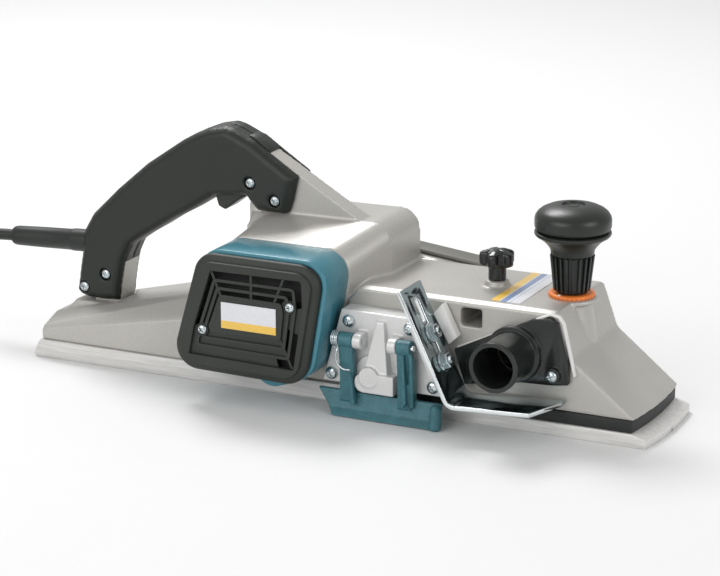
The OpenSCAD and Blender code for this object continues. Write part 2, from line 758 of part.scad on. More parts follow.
module side_plate() {
    color([0.76, 0.76, 0.74]) difference() {
        union() {
            slab_y(plate_y, rebate_y) polygon(plate_outline);
            // bearing boss and barrel block
            bar_y(cutter_x, cutter_z, side_bearing[0] + 2, plate_y - 2, rebate_y);
            bar_y(cutter_x, cutter_z, boss_r, boss_y, plate_y);
            block(cutter_x - 3.7, cutter_x + 17.5, boss_y + 0.6, plate_y, 18, 31);
            bar_y(cutter_x - 3.7, 24.5, 6.5, boss_y + 0.6, plate_y);
            // tapered rib with its gusset
            hull() {
                block(43.4, 49, plate_y - 3, plate_y, 62, 64.4);
                block(36.5, 53.5, plate_y - 7.5, plate_y, 29, 31);
            }
            // ears for the guard's pins
            for (e = lug_places) {
                bar_x(hinge_y, hinge_z, lug_r, e[0], e[1]);
                block(e[0], e[1], hinge_y, plate_y, hinge_z - lug_r, hinge_z + lug_r);
            }
            // slanted lug for the depth stop
            on_leg() block(-stop_t / 2 - 7, -stop_t / 2 - 0.2, stop_far_y - 21, rebate_y, 8, 44);
        }
        bar_y(cutter_x, cutter_z, side_bearing[0], rebate_y - side_bearing[2], rebate_y + 1);
        bar_y(cutter_x, cutter_z, shaft_r + 1.5, rebate_y - side_bearing[2] - 2, rebate_y + 1);
        for (p = plate_screw_places) bar_y(p.x, p.y, 2 + seat_gap, plate_y - 1, rebate_y + 1);
        for (e = lug_places) bar_x(hinge_y, hinge_z, pin_r, e[0] - 1, e[1] + 1);
        on_leg() for (z = stop_bolt_places) translate([-12, stop_mid_y, z]) rotate([0, 90, 0])
            cylinder(r = stop_bolt_r, h = 12);
    }
}
stop_mid_y = (stop_far_y + stop_near_y) / 2;

module side_plate_screws() {
    color("silver") for (p = plate_screw_places) side_screw(p.x, p.y, plate_y, 4.2, 2.6, 2, plate_t + 8);
}

module guard_pins() {
    color([0.8, 0.8, 0.82]) {
        bar_x(hinge_y, hinge_z, pin_r, 14.5, lug_places[0][1] - 0.5);
        bar_x(hinge_y, hinge_z, pin_r, lug_places[1][0] + 0.5, arm_places[1][1] + 1.6);
    }
}

// Section of the guard's flared plate, in Y and Z
guard_section = [[hinge_y + 5, guard_top_z], [hinge_y + 2, guard_top_z], [hinge_y - 1, guard_low_z + 5],
    [hinge_y - 5.5, guard_low_z], [hinge_y - 3, guard_low_z], [hinge_y + 2, guard_low_z + 5]];

module guard() {
    color([0.13, 0.42, 0.5]) difference() {
        union() {
            translate([guard_x[0], 0, 0]) rotate([90, 0, 90]) linear_extrude(guard_x[1] - guard_x[0])
                polygon(guard_section);
            for (a = arm_places) {
                bar_x(hinge_y, hinge_z, lug_r, a[0], a[1]);
                translate([a[0], 0, 0]) rotate([90, 0, 90]) linear_extrude(a[1] - a[0])
                    polygon([[hinge_y - 3.4, hinge_z], [hinge_y + 3.4, hinge_z], [hinge_y + 3.4, 34],
                             [hinge_y + 5, guard_top_z - 3], [hinge_y - 1, guard_top_z - 6],
                             [hinge_y - 1.2, 30]]);
            }
            // corner web of the right arm
            translate([arm_places[1][1] - 1, 0, 0]) rotate([90, 0, 90]) linear_extrude(3)
                polygon([[hinge_y - 4, hinge_z - 3], [hinge_y + 3, hinge_z - 8], [hinge_y + 4, guard_top_z],
                         [hinge_y - 2, guard_top_z - 4]]);
        }
        for (a = arm_places) bar_x(hinge_y, hinge_z, pin_r + run_gap, a[0] - 1, a[1] + 4);
        // slanting rear end of the plate
        slab_y(hinge_y - 10, hinge_y + 10)
            polygon([[guard_x[0] - 2, -1], [guard_x[0] + 14.5, -1], [guard_x[0], guard_top_z],
                     [guard_x[0] - 2, guard_top_z]]);
    }
}

module guard_spring() {
    color([0.7, 0.7, 0.72]) {
        difference() {
            bar_x(hinge_y, hinge_z, pin_r + 2.2, 16, 19.6);
            bar_x(hinge_y, hinge_z, pin_r + 0.5, 15, 21);
        }
        bar_z(18.6, hinge_y - 3, 0.7, 36, hinge_z);
    }
}

module stop_bolts() {
    color("silver") on_leg() for (z = stop_bolt_places) translate([0, stop_mid_y, z]) rotate([0, 90, 0]) {
        translate([0, 0, stop_t / 2 + 0.2]) cylinder(r = 6.2, h = 1.2);
        translate([0, 0, stop_t / 2 + 1.4]) cylinder(r = 4.4, h = 4);
        translate([0, 0, -9.3]) cylinder(r = stop_bolt_r - seat_gap, h = 9.3 + stop_t / 2 + 1);
    }
}

// Side view of the stop's strip: leg, bend and foot, in X and Z
function stop_arc(r) = [for (i = [0:8]) let (a = 180 + stop_lean + i * (90 - stop_lean) / 8)
    [stop_bend_x + r * cos(a), stop_foot_z + stop_bend_r + r * sin(a)]];
function leg_point(across, up) = [stop_bend.x + across * cos(stop_lean) - up * sin(stop_lean),
    stop_bend.y + across * sin(stop_lean) + up * cos(stop_lean)];
stop_profile = concat([leg_point(stop_t / 2, stop_leg_l), leg_point(-stop_t / 2, stop_leg_l)],
    stop_arc(stop_bend_r + stop_t / 2),
    [[stop_foot_x, stop_foot_z + stop_foot_rise - stop_t / 2],
     [stop_foot_x, stop_foot_z + stop_foot_rise + stop_t / 2]],
    [for (i = [8:-1:0]) stop_arc(stop_bend_r - stop_t / 2)[i]]);

module depth_stop() {
    slot_low = stop_bolt_places[0] - 3;
    slot_high = stop_bolt_places[1] + 22;
    slot_r = stop_bolt_r + 0.3;
    color([0.82, 0.83, 0.85]) difference() {
        union() {
            slab_y(stop_near_y, stop_far_y) polygon(stop_profile);
            // the foot reaches close to the casting's wall
            slab_y(stop_far_y - 1, rebate_y - 1) intersection() {
                polygon(stop_profile);
                translate([stop_bend_x + stop_bend_r + 2, 0]) square([100, 40]);
            }
        }
        // sloping near corner of the foot
        translate([0, 0, stop_foot_z - 10]) linear_extrude(20)
            polygon([[stop_corner_x, stop_near_y - 1], [stop_foot_x + 1, stop_near_y - 1],
                     [stop_foot_x + 1, stop_far_y]]);
        on_leg() {
            block(-5, 5, stop_mid_y - slot_r, stop_mid_y + slot_r, slot_low, slot_high);
            for (z = [slot_low, slot_high]) translate([-5, stop_mid_y, z]) rotate([0, 90, 0])
                cylinder(r = slot_r, h = 10);
        }
    }
}

// ---- chip outlet ----

module chip_outlet() {
    mouth_y = rebate_y - 4 - outlet_l;
    color([0.12, 0.13, 0.12]) difference() {
        union() {
            slab_y(rebate_y - 4, rebate_y) polygon([[outlet_x - 42, 49.5], [outlet_x + 12, 76.5],
                [outlet_x + 24, 78.5], [outlet_x + 29, 75.4], [outlet_x + 36.5, 48.7],
                [outlet_x + 36.5, 36.2], [outlet_x + 26, 34.6], [outlet_x + 14, 34], [outlet_x, 33.5],
                [outlet_x - 34.5, 27]]);
            bar_y(outlet_x, outlet_z, outlet_r + outlet_t + 3, rebate_y - 8, rebate_y - 4);
            bar_y(outlet_x, outlet_z, outlet_r + outlet_t, mouth_y, rebate_y - 4);
            bar_y(outlet_x, outlet_z, outlet_r + outlet_t + 0.9, mouth_y, mouth_y + 3);
            bar_y(outlet_x + 27, 42, 5, rebate_y - 8, rebate_y - 4);
        }
        bar_y(outlet_x, outlet_z, outlet_r, mouth_y - 1, rebate_y + 1);
        bar_y(outlet_x + 27, 42, 1.6 + seat_gap, rebate_y - 9, rebate_y + 1);
    }
}

module outlet_screw() {
    color("silver") side_screw(outlet_x + 27, 42, rebate_y - 8, 3.8, 2.2, 1.6, 11);
}

// ---- front shoe and depth control ----

module front_shoe() {
    color([0.80, 0.80, 0.78]) difference() {
        hull() {
            linear_extrude(shoe_t - 3) bowed_plan(mouth_x - 12, nose_x, half_w);
            translate([0, 0, shoe_t - 0.5]) linear_extrude(0.5)
                bowed_plan(mouth_x - 12, nose_foot_x + shoe_bow, half_w);
        }
        // the cutter's sweep, with the shoe down and raised
        bar_y(cutter_x, cutter_z, chamber_r, rebate_y - 1, half_w + 1);
        bar_y(cutter_x, cutter_z - cut_depth, chamber_r, rebate_y - 1, half_w + 1);
        block(cutter_x - 40, mouth_x, rebate_y - 1, half_w + 1, -1, shoe_t + 1);
        // groove that rides on an arris
        translate([nose_x - 22, 0, 0]) rotate([90, 0, 90]) linear_extrude(23)
            polygon([[-2.4, -eps], [2.4, -eps], [0, 2.6]]);
        for (x = shoe_screw_xs) {
            bar_z(x, 0, 2.5 + seat_gap, -1, shoe_t + 1);
            translate([x, 0, -eps]) cylinder(r1 = 5.2, r2 = 2.6, h = 3);
        }
    }
}
shoe_screw_xs = [knob_x - 22, knob_x + 22];

module guide_block() {
    color([0.5, 0.5, 0.52]) difference() {
        union() {
            block(knob_x - 30, knob_x + 30, -13, 13, shoe_t, guide_foot_z);
            block(knob_x - guide_side / 2, knob_x + guide_side / 2, -guide_side / 2, guide_side / 2,
                  guide_foot_z - 1, guide_top_z);
        }
        bar_z(knob_x, 0, spindle_r - 1 + run_gap, shoe_t + 1, guide_top_z + 1);
        for (x = shoe_screw_xs) bar_z(x, 0, 2.5 + seat_gap, shoe_t - 1, guide_foot_z + 1);
    }
}

module shoe_screws() {
    color("silver") for (x = shoe_screw_xs) {
        translate([x, 0, 0.4]) cylinder(r1 = 4.6, r2 = 2.3, h = 2.5);
        bar_z(x, 0, 2.5 - seat_gap, 2.6, guide_foot_z);
    }
}

module shoe_seal() {
    color([0.08, 0.08, 0.08]) difference() {
        translate([0, 0, shoe_t]) linear_extrude(skirt_z - shoe_t)
            bowed_plan(mouth_x + 8, nose_foot_x + shoe_bow - 1, half_w - 1);
        translate([0, 0, shoe_t - 1]) linear_extrude(skirt_z - shoe_t + 2)
            bowed_plan(mouth_x + 12, nose_foot_x + shoe_bow - 6, half_w - 5);
    }
}

module depth_spindle() {
    color([0.6, 0.6, 0.62]) {
        bar_z(knob_x, 0, spindle_r - 1, 24, pocket_top_z + 2);
        bar_z(knob_x, 0, spindle_r, pocket_top_z + 1, knob_foot_z + 24);
    }
}

module knob_grip() {
    color([0.12, 0.12, 0.12]) translate([knob_x, 0, 0]) difference() {
        rotate_extrude() polygon([[0, knob_foot_z], [11.25, knob_foot_z], [14.15, rim_z - 12],
            [14.15, rim_z - 9], [knob_r - 4, rim_z - 1], [knob_r, rim_z + 0.6], [knob_r, groove_z - 0.5],
            [knob_r - 1.5, groove_z], [0, groove_z]]);
        translate([0, 0, knob_foot_z - 1]) cylinder(r = spindle_r, h = 25);
        for (i = [0:15]) rotate([0, 0, 22.5 * i]) translate([12.9, -1, knob_foot_z + 2])
            rotate([0, 7, 0]) cube([4, 2, 19]);
    }
}

module knob_cap() {
    color([0.12, 0.12, 0.12]) translate([knob_x, 0, 0]) rotate_extrude()
        polygon([[0, groove_z], [knob_r - 1.5, groove_z], [knob_r, groove_z + 0.8],
            [knob_r, knob_h - 8.2], [knob_r - 1.6, knob_h - 4.6], [knob_r - 6, knob_h - 1.4],
            [knob_r - 13, knob_h], [7, knob_h], [6.4, knob_h - 1.2], [0, knob_h - 1.2]]);
}

module scale_ring() {
    color([0.9, 0.42, 0.12]) difference() {
        bar_z(knob_x, 0, ring_r, deck_h, ring_top_z);
        bar_z(knob_x, 0, spindle_r + 0.5, deck_h - 1, ring_top_z + 1);
    }
}

module deck_label() {
    color([0.85, 0.75, 0.25]) block(112.5, 132.5, rebate_y + 8, half_w - 5, deck_h, deck_h + 0.4);
}

module star_knob() {
    hub_z = deck_h + 4 + slide_gap;
    color([0.12, 0.12, 0.12]) translate([star_x, 0, 0]) difference() {
        union() {
            translate([0, 0, hub_z]) cylinder(r = star_r / 2, h = 11);
            translate([0, 0, hub_z + 9]) cylinder(r = star_r - 3.2, h = 9.5);
            translate([0, 0, hub_z + 18.5]) cylinder(r1 = star_r - 3.2, r2 = star_r - 6, h = 1.8);
            for (i = [0:4]) rotate([0, 0, 72 * i + 20])
                block(0, star_r, -3.6, 3.6, hub_z + 9.4, hub_z + 18);
        }
        translate([0, 0, hub_z - 1]) cylinder(r = 3, h = 13);
    }
}

module star_stud() {
    color("silver") bar_z(star_x, 0, 3, bar_hole_z + bar_hole_h + 0.3, deck_h + 4 + slide_gap + 11.5);
}

// ---- handle ----

module handle_bridge() {
    color([0.74, 0.73, 0.69]) difference() {
        union() {
            slab_y(-2.5, 2.5) offset(delta = -shell_t - 0.2) polygon(handle_outline);
            slab_y(-post_core_w / 2, post_core_w / 2)
                polygon([[post_x + 11, post_seat_z], [post_x + post_l - 0.4, post_seat_z],
                         [post_x + 35, 50.3], [post_x + 37.5, 63.9], [post_x + 37.8, post_core_top - 0.2],
                         [post_x + 11, post_core_top - 0.2]]);
        }
        block(neck_rear_x + 3 - 0.2, 0, -20, 20, 80, 180);
        block(-113, neck_rear_x + 6, -20, 20, 100, 152);
        bar_x(0, boot_z, boot_r + 1.4, post_x - 5, boot_start_x + 1);
        // room for the screws' bosses at the post
        block(post_x - 1, post_x + 13.2, -20, 20, 30, 51.5);
        bar_y(handle_screw_places[2].x, handle_screw_places[2].y, 2 + seat_gap, -20, 20);
    }
}

// One half of the grip's shell, on the near side; the far one mirrors it
module shell_half() {
    y_out = -handle_w / 2;
    difference() {
        union() {
            slab_y(y_out + 5.5, -0.1) polygon(handle_outline);
            slab_y(y_out + 3, y_out + 5.5) offset(r = -1, $fn = 16) polygon(handle_outline);
            slab_y(y_out + 1.2, y_out + 3) offset(r = -2.5, $fn = 16) polygon(handle_outline);
            slab_y(y_out, y_out + 1.2) offset(r = -4.6, $fn = 16) polygon(handle_outline);
        }
        difference() {
            slab_y(y_out + shell_t, 0) offset(r = -shell_t, $fn = 16) polygon(handle_outline);
            for (p = handle_screw_places) bar_y(p.x, p.y, 5.5, y_out - 1, 1);
        }
        // room for the post's core, the neck, the trigger and the strain relief
        block(post_x + 10.6, post_x + 60, -post_core_w / 2 - 0.2, 1, 30, post_core_top);
        block(neck_rear_x + 2.4, 0, -neck_w / 2 - 0.2, 1, 100, 180);
        block(-102, neck_rear_x + 4, -trigger_half_w - 0.5, 1, 100, 134);
        bar_y(trigger_pivot.x, trigger_pivot.y, 1.5 + run_gap, y_out + shell_t, 1);
        bar_x(0, boot_z, boot_r + 0.2, post_x - 5, post_x + 20);
        for (p = handle_screw_places) {
            bar_y(p.x, p.y, 2 + seat_gap, y_out - 1, 1);
            bar_y(p.x, p.y, 4.25, y_out - 1, y_out + 3);
        }
    }
}

module near_shell() {
    color([0.12, 0.12, 0.12]) shell_half();
}

module far_shell() {
    color([0.12, 0.12, 0.12]) mirror([0, 1, 0]) shell_half();
}

module handle_screws() {
    color("silver") for (p = handle_screw_places)
        side_screw(p.x, p.y, -handle_w / 2 + 3, 3.8, 2, 2, handle_w - 7);
}

module switch_body() {
    color([0.2, 0.2, 0.2]) block(switch_box[0], switch_box[1], -8, 8, switch_box[2], switch_box[3]);
}

module trigger() {
    color([0.1, 0.1, 0.1]) difference() {
        slab_y(-trigger_half_w, trigger_half_w)
            polygon([[-74, 133], [-96, 129.5], [-99.5, 122], [-97, 113.5], [-92, 111.4], [-82, 119],
                     [-73, 124.5], [-71.5, 130]]);
        bar_y(trigger_pivot.x, trigger_pivot.y, 1.5 + run_gap, -20, 20);
    }
}

module trigger_pin() {
    color("silver") bar_y(trigger_pivot.x, trigger_pivot.y, 1.5, -handle_w / 2 + shell_t + 0.2,
        handle_w / 2 - shell_t - 0.2);
}

// ---- cord ----

module strain_relief() {
    color([0.06, 0.06, 0.06]) translate([boot_start_x, 0, boot_z]) {
        rotate([0, -90 - boot_slope, 0]) cylinder(r1 = boot_r, r2 = boot_tip_r, h = boot_l);
    }
}

// Tube swept along a list of points: each ring is square to the path
function unit(v) = v / norm(v);
function path_dir(p, i) = unit(p[min(i + 1, len(p) - 1)] - p[max(i - 1, 0)]);
function ring_side(d) = unit(cross(d, [0, 0, 1]));
function ring(p, i, r) = let (d = path_dir(p, i), s = ring_side(d), u = cross(s, d))
    [for (k = [0:cord_sides - 1]) let (a = 360 * k / cord_sides) p[i] + r * (cos(a) * s + sin(a) * u)];

module cord_tube(points, r) {
    count = len(points);
    rings = [for (i = [0:count - 1]) each ring(points, i, r)];
    sides = [for (i = [0:count - 2], k = [0:cord_sides - 1])
        let (a = i * cord_sides + k, b = i * cord_sides + (k + 1) % cord_sides)
        [a, b, b + cord_sides, a + cord_sides]];
    first = [for (k = [cord_sides - 1:-1:0]) k];
    last = [for (k = [0:cord_sides - 1]) (count - 1) * cord_sides + k];
    polyhedron(points = rings, faces = concat([first], sides, [last]));
}

module cord_run() {
    color([0.08, 0.08, 0.08]) cord_tube(cord_points, cord_d / 2);
}

module cord_tail() {
    color([0.08, 0.08, 0.08]) cord_tube(tail_points, cord_d / 2);
}

coil_w = 3 * cord_d;
coil_h = 4 * cord_d;
tie_t = 1.2;
tie_w = 16;

// Bundle of turns lying flat: three turns wide and four high
module coil_bundle_ring(grow = 0) {
    translate(coil_centre) rotate_extrude() translate([coil_turn_r - coil_w / 2 - grow, 0])
        square([coil_w + 2 * grow, coil_h + grow]);
}

module tie_span() {
    translate(coil_centre) block(-coil_turn_r - coil_w, -coil_turn_r + coil_w,
        -tie_w / 2, tie_w / 2, 0, coil_h + 2 * tie_t);
}

module cord_coil() {
    color([0.08, 0.08, 0.08]) difference() {
        coil_bundle_ring();
        intersection() {
            tie_span();
            translate([-1000, -1000, -1]) cube([2000, 2000, 1 + tie_t]);
        }
    }
}

module coil_tie() {
    color([0.2, 0.2, 0.2]) difference() {
        intersection() {
            coil_bundle_ring(tie_t);
            tie_span();
        }
        intersection() {
            coil_bundle_ring();
            translate([-1000, -1000, tie_t]) cube([2000, 2000, 100]);
        }
    }
}

plug_start = [-392, -74, plug_z];
module plug_body() {
    color([0.08, 0.08, 0.08]) translate(plug_start) rotate([0, 90, 0]) rotate_extrude()
        polygon([[0, 0], [6, 0], [8, 24], [12, 27], [17.4, 38], [17.4, 58], [0, 58]]);
}

module plug_pins() {
    color("silver") for (s = [-1, 1]) translate(plug_start + [58, s * 9.5, 0]) rotate([0, 90, 0]) {
        cylinder(r = 2.4, h = 17);
        translate([0, 0, 17]) cylinder(r1 = 2.4, r2 = 1.2, h = 2);
    }
}

body_casting();
rear_sole();
sole_screws();
belt_cover();
belt_cover_screws();
drive_belt();
motor_housing();
end_grille();
grille_screws();
badge_plate();
stator_core();
field_coils();
brush_holders();
carbon_brushes();
motor_bearings();
armature();
commutator();
fan();
drive_pulley();
side_plate();
side_plate_screws();
cutter_bearings();
cutter_drum();
knives();
clamp_bars();
clamp_screws();
driven_pulley();
chip_outlet();
outlet_screw();
guard_pins();
guard();
guard_spring();
stop_bolts();
depth_stop();
front_shoe();
guide_block();
shoe_screws();
shoe_seal();
depth_spindle();
knob_grip();
knob_cap();
scale_ring();
deck_label();
star_knob();
star_stud();
handle_bridge();
near_shell();
far_shell();
handle_screws();
switch_body();
trigger();
trigger_pin();
strain_relief();
cord_run();
cord_coil();
coil_tie();
cord_tail();
plug_body();
plug_pins();
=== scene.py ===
# %% [markdown]
# # An electric hand planer with a long sole
#
# The planer stands on its sole: a grey casting, a black handle, a blue-green motor
# ring, a turning depth knob and a rebate guard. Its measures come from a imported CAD
# frame, in metres, with +X forward, +Z up and the rebate side at -Y. This lesson gives
# that frame its real surfaces, piece by piece. Small parts that repeat come from
# Geometry Nodes, cast parts from a fine remesh, and turned parts from a profile.

# %% Load the frame
import json
import math

import bmesh
import bpy
from mathutils import Matrix, Vector


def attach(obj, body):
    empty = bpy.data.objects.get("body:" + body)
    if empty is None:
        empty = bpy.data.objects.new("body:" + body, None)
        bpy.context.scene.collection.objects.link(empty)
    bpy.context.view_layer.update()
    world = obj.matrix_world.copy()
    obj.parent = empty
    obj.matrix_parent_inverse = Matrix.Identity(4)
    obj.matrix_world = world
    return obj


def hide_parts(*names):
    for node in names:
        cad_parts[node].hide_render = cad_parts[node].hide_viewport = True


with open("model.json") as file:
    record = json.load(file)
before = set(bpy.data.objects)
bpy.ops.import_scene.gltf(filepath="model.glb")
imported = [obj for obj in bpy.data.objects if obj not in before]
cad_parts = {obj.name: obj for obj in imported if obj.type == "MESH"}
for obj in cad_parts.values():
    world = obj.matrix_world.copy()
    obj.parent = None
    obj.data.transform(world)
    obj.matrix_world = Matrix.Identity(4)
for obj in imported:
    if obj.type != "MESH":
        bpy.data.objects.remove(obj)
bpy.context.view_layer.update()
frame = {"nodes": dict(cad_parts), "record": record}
nodes = frame["nodes"]
record = frame["record"]
body_of_node = {n: b for b, names in record["behaviour"]["bodies"].items() for n in names}
MM = 0.001

# %% [markdown]
# ## The camera
#
# A long lens of 150 mm, almost two metres away, keeps the planer's lines nearly
# parallel. The camera looks down at it by 16 degrees, from the rebate side and the nose.
# It is made first, because the cord's hidden coil must lie outside what it sees.

# %% Camera
look_dir = Vector((-0.41702, 0.86381, -0.28268))
AIM = Vector((0.0041, 0, 0.0669))
REACH = 1.985
lens = bpy.data.cameras.new("long_lens")
lens.lens = 150
lens.sensor_width = 36
lens.clip_end = 20
camera = bpy.data.objects.new("camera", lens)
camera.location = AIM - look_dir * REACH
camera.rotation_euler = look_dir.to_track_quat("-Z", "Y").to_euler()
bpy.context.collection.objects.link(camera)
bpy.context.scene.camera = camera
print("camera at", [round(v, 3) for v in camera.location])

# %% [markdown]
# ## Finishes
#
# Every surface here is procedural, so nothing depends on an image. One helper builds the
# common case: a base colour with slow clouds and fine speckle, a roughness that varies,
# and a bump. All of it reads Object coordinates, so one unit is a metre and a scale of
# 1000 gives grains of about a millimetre. Values that are the same all over, such as
# metallic, sit on the shader itself.

# %% Helpers for materials
def add(mat, kind, **values):
    node = mat.node_tree.nodes.new(kind)
    for key, value in values.items():
        node.inputs[key.replace("_", " ")].default_value = value
    return node


def wire(mat, source, target):
    mat.node_tree.links.new(source, target)


def shade(colour, factor):
    return (*[min(1.0, c * factor) for c in colour[:3]], 1.0)


def object_point(mat, stretch=(1, 1, 1), turn=(0, 0, 0), shift=(0, 0, 0)):
    """Object coordinates, stretched, turned or shifted."""
    place = add(mat, "ShaderNodeMapping", Scale=stretch, Rotation=turn, Location=shift)
    wire(mat, add(mat, "ShaderNodeTexCoord").outputs["Object"], place.inputs["Vector"])
    return place.outputs["Vector"]


def noise(mat, point, scale, detail=3.0, rough=0.55):
    node = add(mat, "ShaderNodeTexNoise", Scale=scale, Detail=detail, Roughness=rough)
    wire(mat, point, node.inputs["Vector"])
    return node.outputs["Fac"]


def ramp(mat, value, *stops):
    """Colours at places between 0 and 1."""
    node = add(mat, "ShaderNodeValToRGB")
    marks = node.color_ramp.elements
    while len(marks) < len(stops):
        marks.new(0.5)
    for mark, (place, colour) in zip(marks, stops):
        mark.position = place
        mark.color = colour if len(colour) == 4 else (*colour, 1)
    wire(mat, value, node.inputs["Fac"])
    return node.outputs["Color"]


def mix(mat, blend, factor, first, second):
    node = mat.node_tree.nodes.new("ShaderNodeMix")
    node.data_type = "RGBA"
    node.blend_type = blend
    node.inputs["Factor"].default_value = factor if isinstance(factor, float) else 0.5
    if not isinstance(factor, float):
        wire(mat, factor, node.inputs["Factor"])
    wire(mat, first, node.inputs["A"])
    if isinstance(second, tuple):
        node.inputs["B"].default_value = second
    else:
        wire(mat, second, node.inputs["B"])
    return node.outputs["Result"]


# %% [markdown]
# The helper below makes a finish from plain numbers. Clouds are slow changes of tone,
# speckle is the fine grain of paint or moulding, and streaks are a tool's marks, drawn
# out along one axis by stretching the coordinates.

# %% A general finish
def finish(name, colour, rough, metal=0.0, clouds=0.06, cloud_scale=18, speckle=0.05,
           grain=900, depth=0.05, streak=None, coat=0.0, rough_spread=0.06, bump_size=0.0004):
    mat = bpy.data.materials.new(name)
    mat.use_nodes = True
    skin = mat.node_tree.nodes["Principled BSDF"]
    skin.inputs["Metallic"].default_value = metal
    skin.inputs["Coat Weight"].default_value = coat
    skin.inputs["Coat Roughness"].default_value = 0.12
    point = object_point(mat)
    fine_point = object_point(mat, streak) if streak else point
    slow = noise(mat, point, cloud_scale, 2.0)
    fine = noise(mat, fine_point, grain, 3.0, 0.7)
    tone = ramp(mat, slow, (0.3, shade(colour, 1 - clouds)), (0.7, shade(colour, 1 + clouds)))
    dots = ramp(mat, fine, (0.32, shade((1, 1, 1), 1 - 2 * speckle)), (0.62, (1, 1, 1, 1)))
    wire(mat, mix(mat, "MULTIPLY", 1.0, tone, dots), skin.inputs["Base Color"])
    sheen = add(mat, "ShaderNodeMapRange", To_Min=max(rough - rough_spread, 0.03),
                To_Max=min(rough + rough_spread, 1.0))
    wire(mat, noise(mat, fine_point, grain * 0.3, 2.0), sheen.inputs["Value"])
    wire(mat, sheen.outputs["Result"], skin.inputs["Roughness"])
    relief = add(mat, "ShaderNodeBump", Strength=min(1.0, depth), Distance=bump_size)
    wire(mat, fine, relief.inputs["Height"])
    wire(mat, relief.outputs["Normal"], skin.inputs["Normal"])
    return mat


SILVER_PAINT = (0.50, 0.485, 0.455)
paint = {
    "cast_silver": finish("cast_silver_paint", SILVER_PAINT, 0.38, 0.35, 0.05, 14, 0.07, 1500, 0.22),
    "plate_silver": finish("plate_silver_paint", (0.70, 0.70, 0.69), 0.36, 0.25, 0.05, 30, 0.06, 1700, 0.25),
    "milled": finish("milled_aluminium", (0.74, 0.73, 0.71), 0.36, 0.30, 0.04, 12, 0.10, 700, 0.22,
                     streak=(0.05, 1, 1)),
    "teal": finish("teal_paint", (0.045, 0.205, 0.265), 0.30, 0.10, 0.05, 25, 0.04, 1200, 0.08, coat=0.35),
    "teal_cast": finish("teal_cast_paint", (0.05, 0.175, 0.205), 0.42, 0.12, 0.12, 160, 0.16, 1100, 0.5),
    "black_moulding": finish("black_moulding", (0.008, 0.012, 0.008), 0.40, 0, 0.10, 25, 0.12, 1500, 0.45),
    "black_satin": finish("black_satin_plastic", (0.012, 0.016, 0.012), 0.36, 0, 0.08, 30, 0.08, 1500, 0.12),
    "black_gloss": finish("black_gloss_plastic", (0.013, 0.016, 0.014), 0.22, 0, 0.08, 30, 0.05, 1300, 0.05),
    "cap_black": finish("grille_black_plastic", (0.021, 0.026, 0.020), 0.5, 0, 0.10, 25, 0.12, 1500, 0.4),
    # A lighter black for edges that catch the light: a painted highlight, not wear.
    "edge_black": finish("worn_black_edge", (0.15, 0.16, 0.15), 0.4, 0, 0.2, 90, 0.1, 900, 0.1),
    # Light grey for cast faces turned to the light: a painted highlight, not a different metal.
    "fresh_cast": finish("fresh_cast_face", (0.80, 0.79, 0.77), 0.45, 0.1, 0.04, 40, 0.05, 1500, 0.3),
    "cover_grey": finish("belt_cover_grey", (0.17, 0.167, 0.145), 0.5, 0.1, 0.06, 25, 0.08, 1300, 0.3),
    # Near-black for the sheet inside the grille: painted shade for the dark space behind the slots.
    "painted_void_shade": finish("soot_black", (0.006, 0.007, 0.006), 0.75, 0, 0.2, 60, 0.2, 900, 0.3),
    "rubber": finish("black_rubber", (0.014, 0.017, 0.015), 0.55, 0, 0.15, 60, 0.12, 900, 0.3),
    "cord_rubber": finish("cord_rubber", (0.013, 0.017, 0.014), 0.42, 0, 0.12, 60, 0.1, 1100, 0.25),
    "zinc": finish("zinc_plated_steel", (0.62, 0.68, 0.70), 0.24, 1.0, 0.12, 160, 0.06, 900, 0.10),
    # Chrome darkened and tinted teal: a painted reflection of the dark teal parts beside the depth stop.
    "dark_chrome": finish("dark_chrome", (0.36, 0.43, 0.44), 0.13, 1.0, 0.10, 25, 0.03, 500, 0.05,
                          rough_spread=0.04),
    "chrome": finish("bright_chrome", (0.78, 0.82, 0.83), 0.11, 1.0, 0.05, 40, 0.03, 500, 0.05,
                     rough_spread=0.03),
    "tool_steel": finish("tool_steel", (0.45, 0.46, 0.48), 0.3, 1.0, 0.08, 50, 0.08, 600, 0.15,
                         streak=(1, 0.05, 1)),
    "orange": finish("orange_plastic", (0.86, 0.22, 0.035), 0.38, 0, 0.05, 60, 0.05, 1300, 0.1),
    "laminate": finish("stacked_steel", (0.32, 0.32, 0.34), 0.42, 0.9, 0.06, 50, 0.25, 1800, 0.5,
                       streak=(0.05, 1, 0.05)),
    "copper": finish("copper_winding", (0.62, 0.25, 0.10), 0.3, 0.9, 0.08, 80, 0.3, 1500, 0.6,
                     streak=(1, 0.1, 1)),
    "brass": finish("brass", (0.70, 0.50, 0.20), 0.28, 1.0, 0.06, 80, 0.06, 900, 0.12),
    "belt": finish("drive_belt_rubber", (0.02, 0.02, 0.02), 0.7, 0, 0.1, 60, 0.2, 900, 0.4,
                   streak=(1, 0.08, 1)),
}
print(len(paint), "finishes")

# %% [markdown]
# Every CAD node that stays on show takes one of these finishes, and so do the ones
# inside, so that the part also looks right when it is opened.

